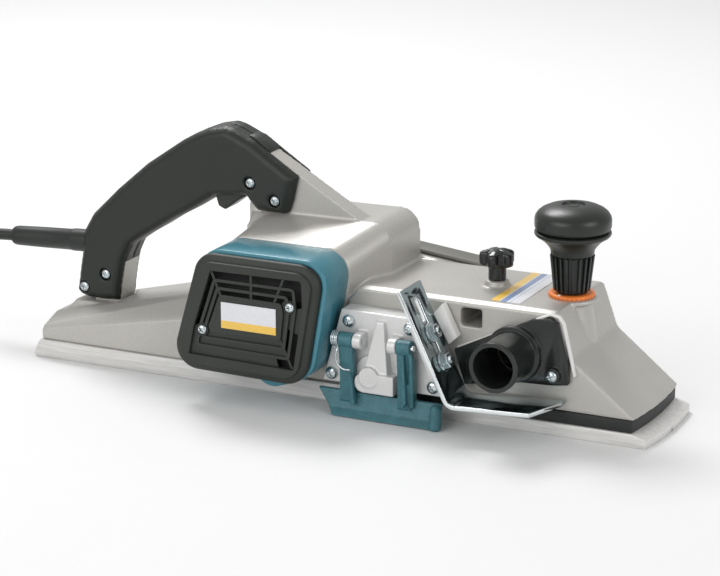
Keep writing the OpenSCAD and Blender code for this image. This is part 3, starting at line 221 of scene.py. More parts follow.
# %% Finish each CAD node
node_paint = {
    "cast_silver": ["body_casting", "handle_bridge"],
    "plate_silver": ["side_plate"],
    "milled": ["rear_sole", "front_shoe", "guide_block"],
    "teal": ["motor_housing"],
    "teal_cast": ["guard"],
    "black_moulding": ["near_shell", "far_shell", "end_grille"],
    "black_satin": ["chip_outlet", "knob_grip", "knob_cap", "star_knob", "trigger", "belt_cover",
                    "switch_body", "fan", "plug_body"],
    "rubber": ["shoe_seal"],
    "cord_rubber": ["strain_relief", "cord_run", "cord_coil", "cord_tail", "coil_tie"],
    "zinc": ["sole_screws", "belt_cover_screws", "grille_screws", "side_plate_screws", "outlet_screw",
             "stop_bolts", "shoe_screws", "handle_screws", "trigger_pin", "star_stud", "guard_spring"],
    "chrome": ["depth_stop", "guard_pins", "plug_pins"],
    "tool_steel": ["motor_bearings", "armature", "drive_pulley", "cutter_bearings", "cutter_drum",
                   "knives", "clamp_bars", "clamp_screws", "driven_pulley", "depth_spindle"],
    "orange": ["scale_ring"],
    "laminate": ["stator_core"],
    "copper": ["field_coils", "commutator"],
    "brass": ["brush_holders", "badge_plate", "deck_label"],
    "belt": ["drive_belt", "carbon_brushes"],
}
for name, members in node_paint.items():
    for member in members:
        mesh = nodes[member].data
        mesh.materials.clear()
        mesh.materials.append(paint[name])
print(sum(len(m) for m in node_paint.values()), "CAD nodes finished, of", len(nodes))

# %% [markdown]
# ## Handing a piece in
#
# Each finished piece sits at the origin with its place in its mesh, rides on the body of
# the CAD node it stands for, and hides that node. One helper does this for all of them.

# %% Helpers for pieces
def make_object(name, mesh, mat, smooth=35):
    piece = bpy.data.objects.new(name, mesh)
    bpy.context.collection.objects.link(piece)
    mesh.materials.clear()
    mesh.materials.append(mat)
    if smooth is not None:
        mesh.shade_smooth()
        mesh.set_sharp_from_angle(angle=math.radians(smooth))
    return piece


def hand_in(piece, *replaced, body=None):
    """The piece rides on a body, and stands for the CAD nodes named."""
    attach(piece, body or body_of_node[replaced[0]])
    if replaced:
        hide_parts(*replaced)
    low = [min(v.co[i] for v in piece.data.vertices) for i in range(3)] if piece.type == "MESH" else []
    print(piece.name, "lowest corner", [round(v, 4) for v in low])
    return piece


# %% [markdown]
# ## The mains cord
#
# A rubber lead of 8 mm leaves a tapered boot at the back of the handle, sinks to the
# bench in one easy bow, and runs out of the camera's view. The rest of its length is
# wound into a round coil of ten and a half turns, three side by side and four high. It
# is tied, with the plug beside it.
# The route is a list of points with a smooth curve through them, and the coil is worked
# out turn by turn: the radius and the height change only in short windows, chosen so
# that two turns never meet.

# %% Cord route
CORD_D = 8 * MM
COIL_MIDDLE = (-460, -15)
COIL_STEP, COIL_POINTS = 12, 316
run_points = [(-262, 0, 71.4), (-280, 0, 70), (-298, 0, 66), (-316, 2, 58.5), (-333, 5, 48),
              (-349, 8, 35.5), (-365, 12, 23), (-382, 17, 12.5), (-400, 23, 6), (-418, 29, 4),
              (-436, 34, 4), (-452, 36.5, 4)]
tail_points = [(-446, -67.3, 28), (-432, -68.6, 26.6), (-418, -70.8, 23.6), (-404, -73, 20.2),
               (-388, -74, 18)]
# windows in degrees from where the cord arrives: (start, change of radius, change of height)
coil_changes = [(380, 60, -8, 0), (740, 60, -8, 0), (1000, 70, 0, 8), (1290, 70, 8, 0),
                (1650, 70, 8, 0), (1930, 70, 0, 8), (2220, 70, -8, 0), (2580, 70, -8, 0),
                (2860, 70, 0, 8),
                (3155, 70, 8, 0), (3515, 70, 8, 0)]


def coil_point(angle):
    radius, height = 52.0, 4.0
    for start, width, dr, dz in coil_changes:
        t = min(max((angle - start) / width, 0), 1)
        ease = t * t * (3 - 2 * t)
        radius += dr * ease
        height += dz * ease
    a = math.radians(angle)
    return (COIL_MIDDLE[0] + radius * math.cos(a), COIL_MIDDLE[1] + radius * math.sin(a), height)


coil_points = [coil_point(90 + COIL_STEP * i) for i in range(COIL_POINTS)]


def smooth_line(points, step):
    """A Catmull-Rom line through the points, in short even steps."""
    pts = [Vector(p) for p in points]
    pts = [2 * pts[0] - pts[1]] + pts + [2 * pts[-1] - pts[-2]]
    line = []
    for a, b, c, d in zip(pts, pts[1:], pts[2:], pts[3:]):
        count = max(1, round((c - b).length / step))
        for i in range(count):
            t = i / count
            line.append(0.5 * (2 * b + (c - a) * t + (2 * a - 5 * b + 4 * c - d) * t * t
                               + (3 * b - a - 3 * c + d) * t ** 3))
    return line + [pts[-2]]


route = smooth_line(run_points + coil_points + tail_points, 4.0)
route = [p * MM for p in route]

# %% Cord
def tube(name, line, radius, facets):
    """A round wire along a line of points in metres."""
    curve = bpy.data.curves.new(name, "CURVE")
    curve.dimensions = "3D"
    curve.bevel_depth = radius
    curve.bevel_resolution = facets
    curve.use_fill_caps = True
    strand = curve.splines.new("POLY")
    strand.points.add(len(line) - 1)
    for spot, place in zip(strand.points, line):
        spot.co = (*place, 1)
    strand.use_smooth = True
    piece = bpy.data.objects.new(name, curve)
    bpy.context.collection.objects.link(piece)
    return piece


cord = tube("mains_cord", route, CORD_D / 2, 3)
cord.data.materials.append(paint["cord_rubber"])
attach(cord, "planer")
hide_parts("cord_run", "cord_coil", "cord_tail")
print("cord runs from", [round(v, 3) for v in route[0]], "to", [round(v, 3) for v in route[-1]])

# %% [markdown]
# ## Shapes used by several pieces
#
# Three ways of making a shape come back all through this lesson. A copy of a CAD node
# can be merged into clean faces and given small bevels, as a machinist breaks an edge.
# It can be remeshed on a fine grid and smoothed, which rounds every edge and fills every
# corner the way a mould does. And a turned piece is a profile of radius and height, spun
# round its axis.

# %% Modifiers applied to a mesh
def plain_mesh(holder):
    """The mesh an object ends up with after its modifiers; the object goes."""
    bpy.context.view_layer.update()
    graph = bpy.context.evaluated_depsgraph_get()
    result = bpy.data.meshes.new_from_object(holder.evaluated_get(graph))
    bpy.data.objects.remove(holder)
    return result


def worked(mesh, *steps):
    """The mesh after modifiers, each given as (kind, settings)."""
    holder = bpy.data.objects.new("workpiece", mesh)
    bpy.context.collection.objects.link(holder)
    for kind, settings in steps:
        tool = holder.modifiers.new(kind.lower(), kind)
        for key, value in settings.items():
            setattr(tool, key, value)
    return plain_mesh(holder)


def mesh_of(bm, name="shape"):
    mesh = bpy.data.meshes.new(name)
    bmesh.ops.recalc_face_normals(bm, faces=bm.faces)
    bm.to_mesh(mesh)
    bm.free()
    return mesh


def merged_copy(*names, flat=0.6):
    """CAD nodes as one mesh with shared corners and whole flat faces."""
    bm = bmesh.new()
    for name in names:
        bm.from_mesh(nodes[name].data)
    bmesh.ops.remove_doubles(bm, verts=bm.verts, dist=0.004 * MM)
    if flat:
        bmesh.ops.dissolve_limit(bm, angle_limit=math.radians(flat), verts=bm.verts, edges=bm.edges)
    return mesh_of(bm, names[0])


def eased(name, width, *extra, angle=32, segments=2):
    """A merged copy with small bevels on its sharp edges."""
    return worked(merged_copy(name), *extra,
                  ("BEVEL", {"width": width * MM, "segments": segments, "limit_method": "ANGLE",
                             "angle_limit": math.radians(angle), "use_clamp_overlap": False,
                             "harden_normals": False, "miter_outer": "MITER_ARC"}))


def moulded(mesh, grain, rounds, most):
    """The mesh remade on a grid of that grain in mm, smoothed, and thinned to so many triangles."""
    fine = worked(mesh, ("REMESH", {"mode": "VOXEL", "voxel_size": grain * MM, "use_smooth_shade": True}),
                  ("SMOOTH", {"iterations": rounds, "factor": 0.5}))
    count = sum(len(p.vertices) - 2 for p in fine.polygons)
    if count > most:
        fine = worked(fine, ("DECIMATE", {"ratio": most / count}))
    kept = sum(len(p.vertices) - 2 for p in fine.polygons)
    print(mesh.name, "remade:", count, "triangles, kept", kept)
    return fine


# %% Turned pieces and plates
def turned(profile, origin, direction=(0, 0, 1), sides=64, lobes=None):
    """A profile of (radius, height) in mm, spun round an axis; it starts and ends on the axis."""
    bm = bmesh.new()
    frame_turn = Vector(direction).to_track_quat("Z", "Y").to_matrix()
    rings = []
    for radius, height in profile:
        count = 1 if radius < 1e-6 else sides
        ring = []
        for i in range(count):
            a = 2 * math.pi * i / sides
            r = radius * (lobes(a) if lobes else 1)
            spot = frame_turn @ Vector((r * math.cos(a), r * math.sin(a), height)) + Vector(origin)
            ring.append(bm.verts.new(spot * MM))
        rings.append(ring)
    for low_ring, high_ring in zip(rings, rings[1:]):
        for i in range(sides):
            j = (i + 1) % sides
            corners = [low_ring[i % len(low_ring)], low_ring[j % len(low_ring)],
                       high_ring[j % len(high_ring)], high_ring[i % len(high_ring)]]
            corners = list(dict.fromkeys(corners))
            if len(corners) > 2:
                bm.faces.new(corners)
    return mesh_of(bm, "turned")


def plate(outline, y0, y1):
    """A slab between two values of Y, from corners (x, z) in mm."""
    bm = bmesh.new()
    face = bm.faces.new([bm.verts.new((x * MM, y0 * MM, z * MM)) for x, z in outline])
    moved = bmesh.ops.extrude_face_region(bm, geom=[face])
    bmesh.ops.translate(bm, vec=(0, (y1 - y0) * MM, 0),
                        verts=[v for v in moved["geom"] if isinstance(v, bmesh.types.BMVert)])
    return mesh_of(bm, "plate")


def box(x, y, z):
    """A block between two corners, as ranges in mm."""
    return plate([(x[0], z[0]), (x[1], z[0]), (x[1], z[1]), (x[0], z[1])], y[0], y[1])


def joined(*meshes):
    bm = bmesh.new()
    for mesh in meshes:
        bm.from_mesh(mesh)
    return mesh_of(bm, "joined")


def cut(mesh, *tools):
    """The mesh with the tools' shapes taken out of it."""
    knife = bpy.data.objects.new("knife", joined(*tools))
    bpy.context.collection.objects.link(knife)
    result = worked(mesh, ("BOOLEAN", {"operation": "DIFFERENCE", "object": knife, "solver": "EXACT"}))
    bpy.data.objects.remove(knife)
    return result


# %% [markdown]
# ## Geometry Nodes for what repeats
#
# Screws, knob ribs and grille bars repeat, so each has a small tree with named inputs.
# A tree always ends the same way: its instances are made real, because an exported model
# drops instances, and it sets its material. The result is taken out as a plain mesh.

# %% Helpers for node trees
def new_tree(name, **inputs):
    tree = bpy.data.node_groups.new(name, "GeometryNodeTree")
    tree.interface.new_socket("Geometry", in_out="INPUT", socket_type="NodeSocketGeometry")
    for label, kind in inputs.items():
        tree.interface.new_socket(label.replace("_", " "), in_out="INPUT",
                                  socket_type="NodeSocket" + kind)
    tree.interface.new_socket("Geometry", in_out="OUTPUT", socket_type="NodeSocketGeometry")
    return tree, tree.nodes.new("NodeGroupInput"), tree.nodes.new("NodeGroupOutput")


def tree_node(tree, kind, sources=None, **settings):
    """A node whose sockets take values or other nodes' outputs."""
    node = tree.nodes.new(kind)
    for key, value in settings.items():
        setattr(node, key, value)
    for socket, value in (sources or {}).items():
        if isinstance(value, bpy.types.NodeSocket):
            tree.links.new(value, node.inputs[socket])
        else:
            node.inputs[socket].default_value = value
    return node


def close_tree(tree, geometry, material, out):
    real = tree_node(tree, "GeometryNodeRealizeInstances", {"Geometry": geometry})
    done = tree_node(tree, "GeometryNodeSetMaterial",
                     {"Geometry": real.outputs[0], "Material": material})
    tree.links.new(done.outputs[0], out.inputs[0])


def grow(tree, seed_mesh, **values):
    """Runs a tree on a mesh and gives the plain mesh that comes out."""
    holder = bpy.data.objects.new("seed", seed_mesh)
    bpy.context.collection.objects.link(holder)
    tool = holder.modifiers.new("tree", "NODES")
    tool.node_group = tree
    for item in tree.interface.items_tree:
        key = item.name.replace(" ", "_")
        if item.item_type == "SOCKET" and item.in_out == "INPUT" and key in values:
            tool[item.identifier] = values[key]
    return plain_mesh(holder)


def points_mesh(points):
    mesh = bpy.data.meshes.new("points")
    mesh.from_pydata([tuple(Vector(p) * MM) for p in points], [], [])
    return mesh


# %% Tree for screws at points
screw_tree, given, out = new_tree("screws_at_points", Head="Object", Size="Float", Tilt="Rotation",
                                  Seed="Int", Material="Material")
head_info = tree_node(screw_tree, "GeometryNodeObjectInfo", {"Object": given.outputs["Head"]})
spin = tree_node(screw_tree, "FunctionNodeRandomValue", {"Seed": given.outputs["Seed"]},
                 data_type="FLOAT")
spin.inputs[3].default_value = 1.5
spin_turn = tree_node(screw_tree, "ShaderNodeCombineXYZ", {"Z": spin.outputs[1]})
spin_rotation = tree_node(screw_tree, "FunctionNodeEulerToRotation", {"Euler": spin_turn.outputs[0]})
both = tree_node(screw_tree, "FunctionNodeRotateRotation",
                 {"Rotation": given.outputs["Tilt"], "Rotate By": spin_rotation.outputs[0]},
                 rotation_space="LOCAL")
heads = tree_node(screw_tree, "GeometryNodeInstanceOnPoints",
                  {"Points": given.outputs["Geometry"], "Instance": head_info.outputs["Geometry"],
                   "Rotation": both.outputs[0], "Scale": given.outputs["Size"]})
close_tree(screw_tree, heads.outputs[0], given.outputs["Material"], out)

# %% Tree for ribs round an axis
rib_tree, given, out = new_tree("ribs_round_axis", Count="Int", Radius="Float", Rib_size="Vector",
                                Lean="Rotation", Place="Vector", Turn="Rotation", Material="Material")
circle = tree_node(rib_tree, "GeometryNodeMeshCircle",
                   {"Vertices": given.outputs["Count"], "Radius": given.outputs["Radius"]})
rib = tree_node(rib_tree, "GeometryNodeMeshCube", {"Size": given.outputs["Rib size"]})
leaning = tree_node(rib_tree, "GeometryNodeTransform",
                    {"Geometry": rib.outputs[0], "Rotation": given.outputs["Lean"]})
outward = tree_node(rib_tree, "FunctionNodeAlignRotationToVector",
                    {"Vector": tree_node(rib_tree, "GeometryNodeInputPosition").outputs[0]}, axis="X",
                    pivot_axis="Z")
ribs = tree_node(rib_tree, "GeometryNodeInstanceOnPoints",
                 {"Points": circle.outputs[0], "Instance": leaning.outputs[0],
                  "Rotation": outward.outputs[0]})
placed = tree_node(rib_tree, "GeometryNodeTransform",
                   {"Geometry": ribs.outputs[0], "Translation": given.outputs["Place"],
                    "Rotation": given.outputs["Turn"]})
close_tree(rib_tree, placed.outputs[0], given.outputs["Material"], out)

# %% Tree for bars along a wire plan
bar_tree, given, out = new_tree("bars_on_plan", Bar_width="Float", Bar_depth="Float", Corner="Float",
                                Material="Material")
lines = tree_node(bar_tree, "GeometryNodeMeshToCurve", {"Mesh": given.outputs["Geometry"]})
rounded = tree_node(bar_tree, "GeometryNodeFilletCurve",
                    {"Curve": lines.outputs[0], "Radius": given.outputs["Corner"], "Count": 4},
                    mode="POLY")
profile = tree_node(bar_tree, "GeometryNodeCurvePrimitiveQuadrilateral",
                    {"Width": given.outputs["Bar width"], "Height": given.outputs["Bar depth"]})
bars = tree_node(bar_tree, "GeometryNodeCurveToMesh",
                 {"Curve": rounded.outputs[0], "Profile Curve": profile.outputs[0], "Fill Caps": True})
close_tree(bar_tree, bars.outputs[0], given.outputs["Material"], out)
print("three trees:", screw_tree.name, rib_tree.name, bar_tree.name)

# %% [markdown]
# ## The casting
#
# The body is one aluminium casting under grey paint. A casting has no sharp corner: each
# edge is rounded and each inner corner filled, so the metal can flow and leave the mould.
# Remeshing on a grid of one millimetre and smoothing gives just that, and melts the neck
# of the handle into the hump. A slanted lug stands out from its near side.

# %% Casting
casting = make_object("cast_body", moulded(merged_copy("body_casting", flat=0), 1.0, 3, 190000),
                      paint["cast_silver"], 60)
hand_in(casting, "body_casting")

# The lug is coloured much lighter than the casting paint: a painted highlight on its lit facet.
lug = worked(plate([(79.3, 72.4), (85.3, 79.6), (96, 58.7), (90.2, 53.2)], -48.5, -41.5),
             ("BEVEL", {"width": 0.6 * MM, "segments": 2}))
hand_in(make_object("slanted_lug", lug, paint["fresh_cast"], 35), body="planer")

# %% [markdown]
# ## Sole, shoe and seal
#
# The rear sole and the front shoe are milled flat and their edges are broken with a file.
# A merged copy with a small bevel shows this, because the bevel catches a line of light.
# Other pieces whose CAD shape is already right are made the same way. The seal is also
# made a little slimmer, so that it stands clear of the casting at rest.

# %% Pieces that need only their edges eased
SEAL_SLACK = 0.4 * MM
eased_pieces = [
    ("rear_sole_plate", "rear_sole", 0.5, "milled"),
    ("front_shoe_plate", "front_shoe", 0.5, "milled"),
    ("skirt_seal", "shoe_seal", 0.6, "rubber"),
    ("motor_ring", "motor_housing", 0.7, "teal"),
    ("belt_side_cover", "belt_cover", 0.9, "cover_grey"),
    ("finger_trigger", "trigger", 1.0, "black_satin"),
    ("rebate_depth_stop", "depth_stop", 0.45, "dark_chrome"),
    ("outlet_tube", "chip_outlet", 0.5, "black_gloss"),
    ("coil_strap", "coil_tie", 0.4, "rubber"),
    ("hinge_pins", "guard_pins", 0.35, "chrome"),
]
eased_made = {}
for name, node, width, finish_name in eased_pieces:
    slimmer = [("DISPLACE", {"strength": -SEAL_SLACK, "mid_level": 0.0})] if node == "shoe_seal" else []
    piece = make_object(name, eased(node, width, *slimmer), paint[finish_name])
    eased_made[node] = hand_in(piece, node)
# The faces turned to the near side take the bright chrome: a painted highlight along the stop's lit near
# edge.
strip = eased_made["depth_stop"].data
strip.materials.append(paint["chrome"])
for face in strip.polygons:
    if face.normal.y < -0.3:
        face.material_index = 1

# %% [markdown]
# ## Handle shells
#
# Two black mouldings clasp the neck and meet along the middle. Their shoulders are
# broadly rounded for the hand, which a remesh and a long smoothing give. The screw
# recesses are cut afterwards, so that they stay crisp. A small block closes the gap at
# the front top, between the shells and the neck.

# %% Handle shells
handle_screws = [(-70.2, 133.4), (-51.9, 123.1), (-182.6, 56.5), (-199.6, 45.6)]


def grip_shell(name, node, side):
    mesh = moulded(merged_copy(node, flat=0), 0.8, 12, 90000)
    wells = [turned([(0, -1), (4.3, -1), (4.3, 3.4), (0, 3.4)], (x, side * 15, z), (0, -side, 0), 40)
             for x, z in handle_screws]
    shell = make_object(name, cut(mesh, *wells), paint["black_moulding"], 40)
    return hand_in(shell, node)


infill = worked(plate([(-74, 150), (-74, 164.5), (-68, 162.8), (-59, 156.6), (-57, 150)], -7, 7),
                ("BEVEL", {"width": 1.0 * MM, "segments": 2}))
hand_in(make_object("grip_infill", infill, paint["black_moulding"], 40), body="planer")
grip_shell("near_grip_shell", "near_shell", -1)
grip_shell("far_grip_shell", "far_shell", 1)

# %% [markdown]
# ## Screws
#
# The screws are zinc-plated, with a low dome and a cross recess. One head of unit radius
# is made once: a turned dome with two tapered cuts. The tree then puts a copy at each
# place, at its own size and turned by its own angle, since nobody lines up the slots.

# %% One screw head
dome = turned([(0, -1.2), (0.62, -1.2), (0.62, -0.1), (1.0, -0.1), (1.0, 0.22), (0.9, 0.4), (0.6, 0.58),
               (0.3, 0.64), (0, 0.66)], (0, 0, 0), sides=36)
head_mesh = dome
for half_x, half_y in ((0.56, 0.11), (0.11, 0.56)):
    head_mesh = cut(head_mesh, box((-half_x, half_x), (-half_y, half_y), (0.12, 1.5)))
head_mesh.transform(Matrix.Scale(1000, 4))
screw_head = bpy.data.objects.new("screw_head_pattern", head_mesh)
bpy.context.collection.objects.link(screw_head)
print("screw head:", len(head_mesh.polygons), "faces")

# %% Screws at their places
TO_NEAR = (math.pi / 2, 0, 0)
TO_FAR = (-math.pi / 2, 0, 0)
PLATE_FACE, COVER_FACE = -55.2, 62.1
grille_fixings = [(-72, 50), (-8, 73)]


def screws(name, node, places, size, tilt, seed):
    mesh = grow(screw_tree, points_mesh(places), Head=screw_head, Size=size * MM, Tilt=tilt, Seed=seed,
                Material=paint["zinc"])
    return hand_in(make_object(name, mesh, paint["zinc"], 30), node)


screws("grip_screws", "handle_screws", [(x, -12.6, z) for x, z in handle_screws], 3.6, TO_NEAR, 3)
screws("plate_screws", "side_plate_screws",
       [(x, PLATE_FACE, z) for x, z in ((22.8, 62.1), (10.5, 25.2), (66, 62.2), (82.6, 25.4))],
       4.2, TO_NEAR, 8)
screws("grille_fixing_screws", "grille_screws", [(x, -78.4, z) for x, z in grille_fixings], 3.3,
       TO_NEAR, 5)
screws("outlet_fixing_screw", "outlet_screw", [(161.3, -49.2, 42)], 3.8, TO_NEAR, 2)
screws("cover_screws", "belt_cover_screws",
       [(x, COVER_FACE, z) for x, z in ((-60, 76), (-50, 40), (76, 66), (70, 26))], 3.9, TO_FAR, 4)
bpy.data.objects.remove(screw_head)

# %% [markdown]
# ## Depth knob
#
# The knob is three mouldings: a cap with a shallow disc on top, a flared grip, and a
# slim stem with upright ribs for the fingers. Cap and grip are turned from profiles, and
# the ribs stand round a darker core, placed by the rib tree.

# %% Knob cap and grip
KNOB_X, KNOB_R, KNOB_TOP = 154.4, 24.7, 141.8
RIM_Z, GROOVE_Z, STEM_Z = KNOB_TOP - 20.8, KNOB_TOP - 16.8, 84.3
cap = turned([(0, GROOVE_Z), (KNOB_R - 2.2, GROOVE_Z), (KNOB_R - 1.2, GROOVE_Z + 0.5),
              (KNOB_R - 0.3, GROOVE_Z + 1.6), (KNOB_R, GROOVE_Z + 3.2), (KNOB_R, KNOB_TOP - 9.6),
              (KNOB_R - 0.5, KNOB_TOP - 7.6), (KNOB_R - 1.9, KNOB_TOP - 5.4),
              (KNOB_R - 4.2, KNOB_TOP - 3.5), (KNOB_R - 8.0, KNOB_TOP - 1.7),
              (KNOB_R - 12.5, KNOB_TOP - 0.6), (8.4, KNOB_TOP - 0.05),
              (7.7, KNOB_TOP - 0.15), (7.3, KNOB_TOP - 0.7), (7.1, KNOB_TOP - 1.3),
              (3.6, KNOB_TOP - 1.35), (3.2, KNOB_TOP - 0.95), (0, KNOB_TOP - 0.9)],
             (KNOB_X, 0, 0), sides=96)
hand_in(make_object("knob_top_cap", cap, paint["black_satin"], 40), "knob_cap")
grip_profile = [(0, STEM_Z), (10.2, STEM_Z), (10.4, STEM_Z + 1), (12.2, RIM_Z - 13), (13.6, RIM_Z - 12),
                (14.0, RIM_Z - 11.2), (14.2, RIM_Z - 9), (15.6, RIM_Z - 6.6), (18.4, RIM_Z - 3.4),
                (21.6, RIM_Z - 0.9), (23.6, RIM_Z + 0.2), (KNOB_R - 0.3, RIM_Z + 1.1),
                (KNOB_R, RIM_Z + 1.8), (KNOB_R - 0.1, GROOVE_Z - 1.2), (KNOB_R - 0.8, GROOVE_Z - 0.7),
                (KNOB_R - 2.6, GROOVE_Z - 0.4), (0, GROOVE_Z - 0.4)]
grip_mesh = turned(grip_profile, (KNOB_X, 0, 0), sides=96)
knob_body = make_object("knob_flared_grip", grip_mesh, paint["black_satin"], 40)
hand_in(knob_body, "knob_grip")

# %% Knob ribs
rib_mesh = grow(rib_tree, points_mesh([]), Count=20, Radius=11.9 * MM,
                Rib_size=(2.6 * MM, 1.5 * MM, 23.4 * MM), Lean=(0, math.radians(6.2), 0),
                Place=(KNOB_X * MM, 0, 97.2 * MM), Turn=(0, 0, 0.12), Material=paint["black_gloss"])
rib_mesh = worked(rib_mesh, ("BEVEL", {"width": 0.4 * MM, "segments": 2}))
hand_in(make_object("knob_stem_ribs", rib_mesh, paint["black_gloss"], 40),
        body=body_of_node["knob_grip"])

# %% Orange ring with its scale
ring = turned([(5.6, 81.5), (14.6, 81.5), (15, 81.9), (15, 83.1), (14.6, 83.7), (13.9, 84.0),
               (12.3, 84.0), (12.0, 83.6), (5.6, 83.6), (5.6, 81.5)], (KNOB_X, 0, 0), sides=96)
hand_in(make_object("depth_scale_ring", ring, paint["orange"], 40), "scale_ring")
white_mark = finish("white_mark", (0.85, 0.85, 0.82), 0.5, 0, 0.03, 60, 0.03)
ticks = grow(rib_tree, points_mesh([]), Count=32, Radius=14.65 * MM,
             Rib_size=(0.9 * MM, 0.3 * MM, 0.9 * MM), Lean=(0, 0, 0),
             Place=(KNOB_X * MM, 0, 82.6 * MM), Turn=(0, 0, 0), Material=white_mark)
hand_in(make_object("depth_scale_ticks", ticks, paint["rubber"], None), body=body_of_node["scale_ring"])
pointer = turned([(0, 0), (1.0, 0), (0.9, 0.5), (0, 0.6)], (KNOB_X - 3.4, -13.2, 84.0), sides=16)
hand_in(make_object("scale_pointer", pointer, white_mark, 40), body=body_of_node["scale_ring"])

# %% [markdown]
# ## Star knob
#
# The star knob clamps the side guide's bar. Its outline follows a rule: the radius swells
# and shrinks five times in a turn, so one formula makes all five lobes.

# %% Star knob
STAR_X, STAR_Z = 102.6, 85.8


def five_lobes(angle):
    depth, flatness = 0.17, 2.4
    swell = math.cos(5 * (angle - math.radians(20)))
    return 1 + depth * math.tanh(flatness * swell) / math.tanh(flatness) - depth


def star_on_hub(profile_low, profile_high):
    """A round hub below and the five lobes above it."""
    hub = turned(profile_low, (STAR_X, 0, STAR_Z), sides=60)
    star = turned(profile_high, (STAR_X, 0, STAR_Z), sides=120, lobes=five_lobes)
    return joined(hub, star)


star_mesh = star_on_hub(
    [(0, 0), (5.3, 0), (5.8, 0.5), (5.8, 10), (0, 10)],
    [(0, 9.2), (9.6, 9.2), (11.2, 9.9), (11.8, 11.0), (11.8, 16.4), (11.3, 17.6), (10.0, 18.4),
     (8.4, 18.8), (7.6, 19.2), (5.5, 19.9), (3.0, 20.2), (0, 20.3)])
hand_in(make_object("clamp_star_knob", star_mesh, paint["black_gloss"], 38), "star_knob")

# %% [markdown]
# ## End grille
#
# A black cap closes the motor ring. Its raised frame runs round a sunk field, where bars
# follow the field's outline in nested rings down to a plain panel with the badge. Air
# enters where the field is open between the bars. The frame is a set of rings joined by
# faces. The bars are a wire plan that the bar tree thickens.

# %% Grille outlines
MOTOR = Vector((-38, 62))
HOUSING = [(-22, 26, 16), (38, 26, 16), (28, -22, 18), (-36, -23, 16)]
FIELD = [(-65, 90.7), (0.4, 91.4), (1.2, 73.8), (-1.8, 54.7), (-5.5, 31.3), (-17, 31.5), (-81.6, 32.7),
         (-77.7, 52)]
PANEL = [(-57.9, 73.9), (-15.2, 73.4), (-14.2, 68), (-15, 60.4), (-16, 51), (-22, 51.1), (-66.5, 50.8),
         (-64.6, 56)]
MIDDLE = Vector((-38, 60))


def housing_loop(grown, angles):
    loop = []
    for a in angles:
        u = Vector((math.cos(a), math.sin(a)))
        corner = max(HOUSING, key=lambda c: c[0] * u.x + c[1] * u.y + c[2])
        loop.append(MOTOR + Vector(corner[:2]) + (corner[2] + grown) * u)
    return loop


def seen_from(outline, angles, grown=0.0):
    """Points of an outline in given directions from the middle."""
    loop = []
    for a in angles:
        u = Vector((math.cos(a), math.sin(a)))
        best = None
        for p, q in zip(outline, outline[1:] + outline[:1]):
            p, q = Vector(p) - MIDDLE, Vector(q) - MIDDLE
            cross_size = u.x * (q - p).y - u.y * (q - p).x
            if abs(cross_size) < 1e-9:
                continue
            along = (p.x * (q - p).y - p.y * (q - p).x) / cross_size
            share = (p.x * u.y - p.y * u.x) / cross_size
            if along > 0 and -1e-6 <= share <= 1 + 1e-6:
                best = max(best or 0, along)
        loop.append(MIDDLE + u * (best + grown))
    return loop


# %% Grille frame
STEPS = 180
# Three rings at the frame's rounded edges take the lighter black: painted highlight lines where the edges
# catch the light.
HIGHLIGHT_RINGS = (9, 10, 13)
angles = [2 * math.pi * i / STEPS for i in range(STEPS)]
dense = [2 * math.pi * i / 720 for i in range(720)]


def housing_seen(grown, shift=(-3.4, -2.2)):
    return seen_from([(p.x + shift[0], p.y + shift[1]) for p in housing_loop(grown, dense)], angles)


frame_rings = [(housing_seen(-3.7, (0, 0)), -68), (housing_seen(-3.7, (0, 0)), -73.4),
               (housing_seen(-0.4), -73.6), (housing_seen(-0.2), -74.0), (housing_seen(-0.4), -75.4),
               (housing_seen(-1.1), -76.7), (housing_seen(-2.4), -77.6), (housing_seen(-4.4), -77.9),
               (housing_seen(-4.9), -78.0), (housing_seen(-5.1), -79.4), (housing_seen(-5.5), -79.95),
               (housing_seen(-5.9), -79.95), (seen_from(FIELD, angles, 0.5), -79.8),
               (seen_from(FIELD, angles, 0.1), -79.5), (seen_from(FIELD, angles), -78.9),
               (seen_from(FIELD, angles), -75.6), (housing_seen(-5.4, (0, 0)), -75.6),
               (housing_seen(-5.4, (0, 0)), -68)]
bm = bmesh.new()
loops = [[bm.verts.new((p.x * MM, y * MM, p.y * MM)) for p in loop] for loop, y in frame_rings]
for k, (first, second) in enumerate(zip(loops, loops[1:] + loops[:1])):
    for i in range(STEPS):
        j = (i + 1) % STEPS
        face = bm.faces.new((first[i], first[j], second[j], second[i]))
        face.material_index = int(k in HIGHLIGHT_RINGS)
grille_frame = make_object("grille_frame", mesh_of(bm, "grille_frame"), paint["cap_black"], 28)
grille_frame.data.materials.append(paint["edge_black"])
hand_in(grille_frame, "end_grille")

# %% Grille field and bars
OPEN_CELLS = {0: (0, 1, 2), 1: (0, 1), 3: (0, 1), 4: (0,), 7: (0, 1, 2)}
LEVELS = [0.0, 0.36, 0.67, 1.0]


def on_level(corner, level):
    return Vector(FIELD[corner % 8]).lerp(Vector(PANEL[corner % 8]), level)


cells = []
for side in range(8):
    for gap in range(3):
        if gap not in OPEN_CELLS.get(side, ()):
            cells.append(plate([on_level(side, LEVELS[gap]), on_level(side + 1, LEVELS[gap]),
                                on_level(side + 1, LEVELS[gap + 1]), on_level(side, LEVELS[gap + 1])],
                               -77.6, -75.8))
cells.append(plate(PANEL, -78.9, -75.8))
hand_in(make_object("grille_field", joined(*cells), paint["cap_black"], 28), body="planer")
plan_points, plan_edges = [], []


def plan_line(points, closed=False):
    start = len(plan_points)
    plan_points.extend((p[0] * MM, p[1] * MM, 0) for p in points)
    plan_edges.extend((start + i, start + i + 1) for i in range(len(points) - 1))
    if closed:
        plan_edges.append((start + len(points) - 1, start))


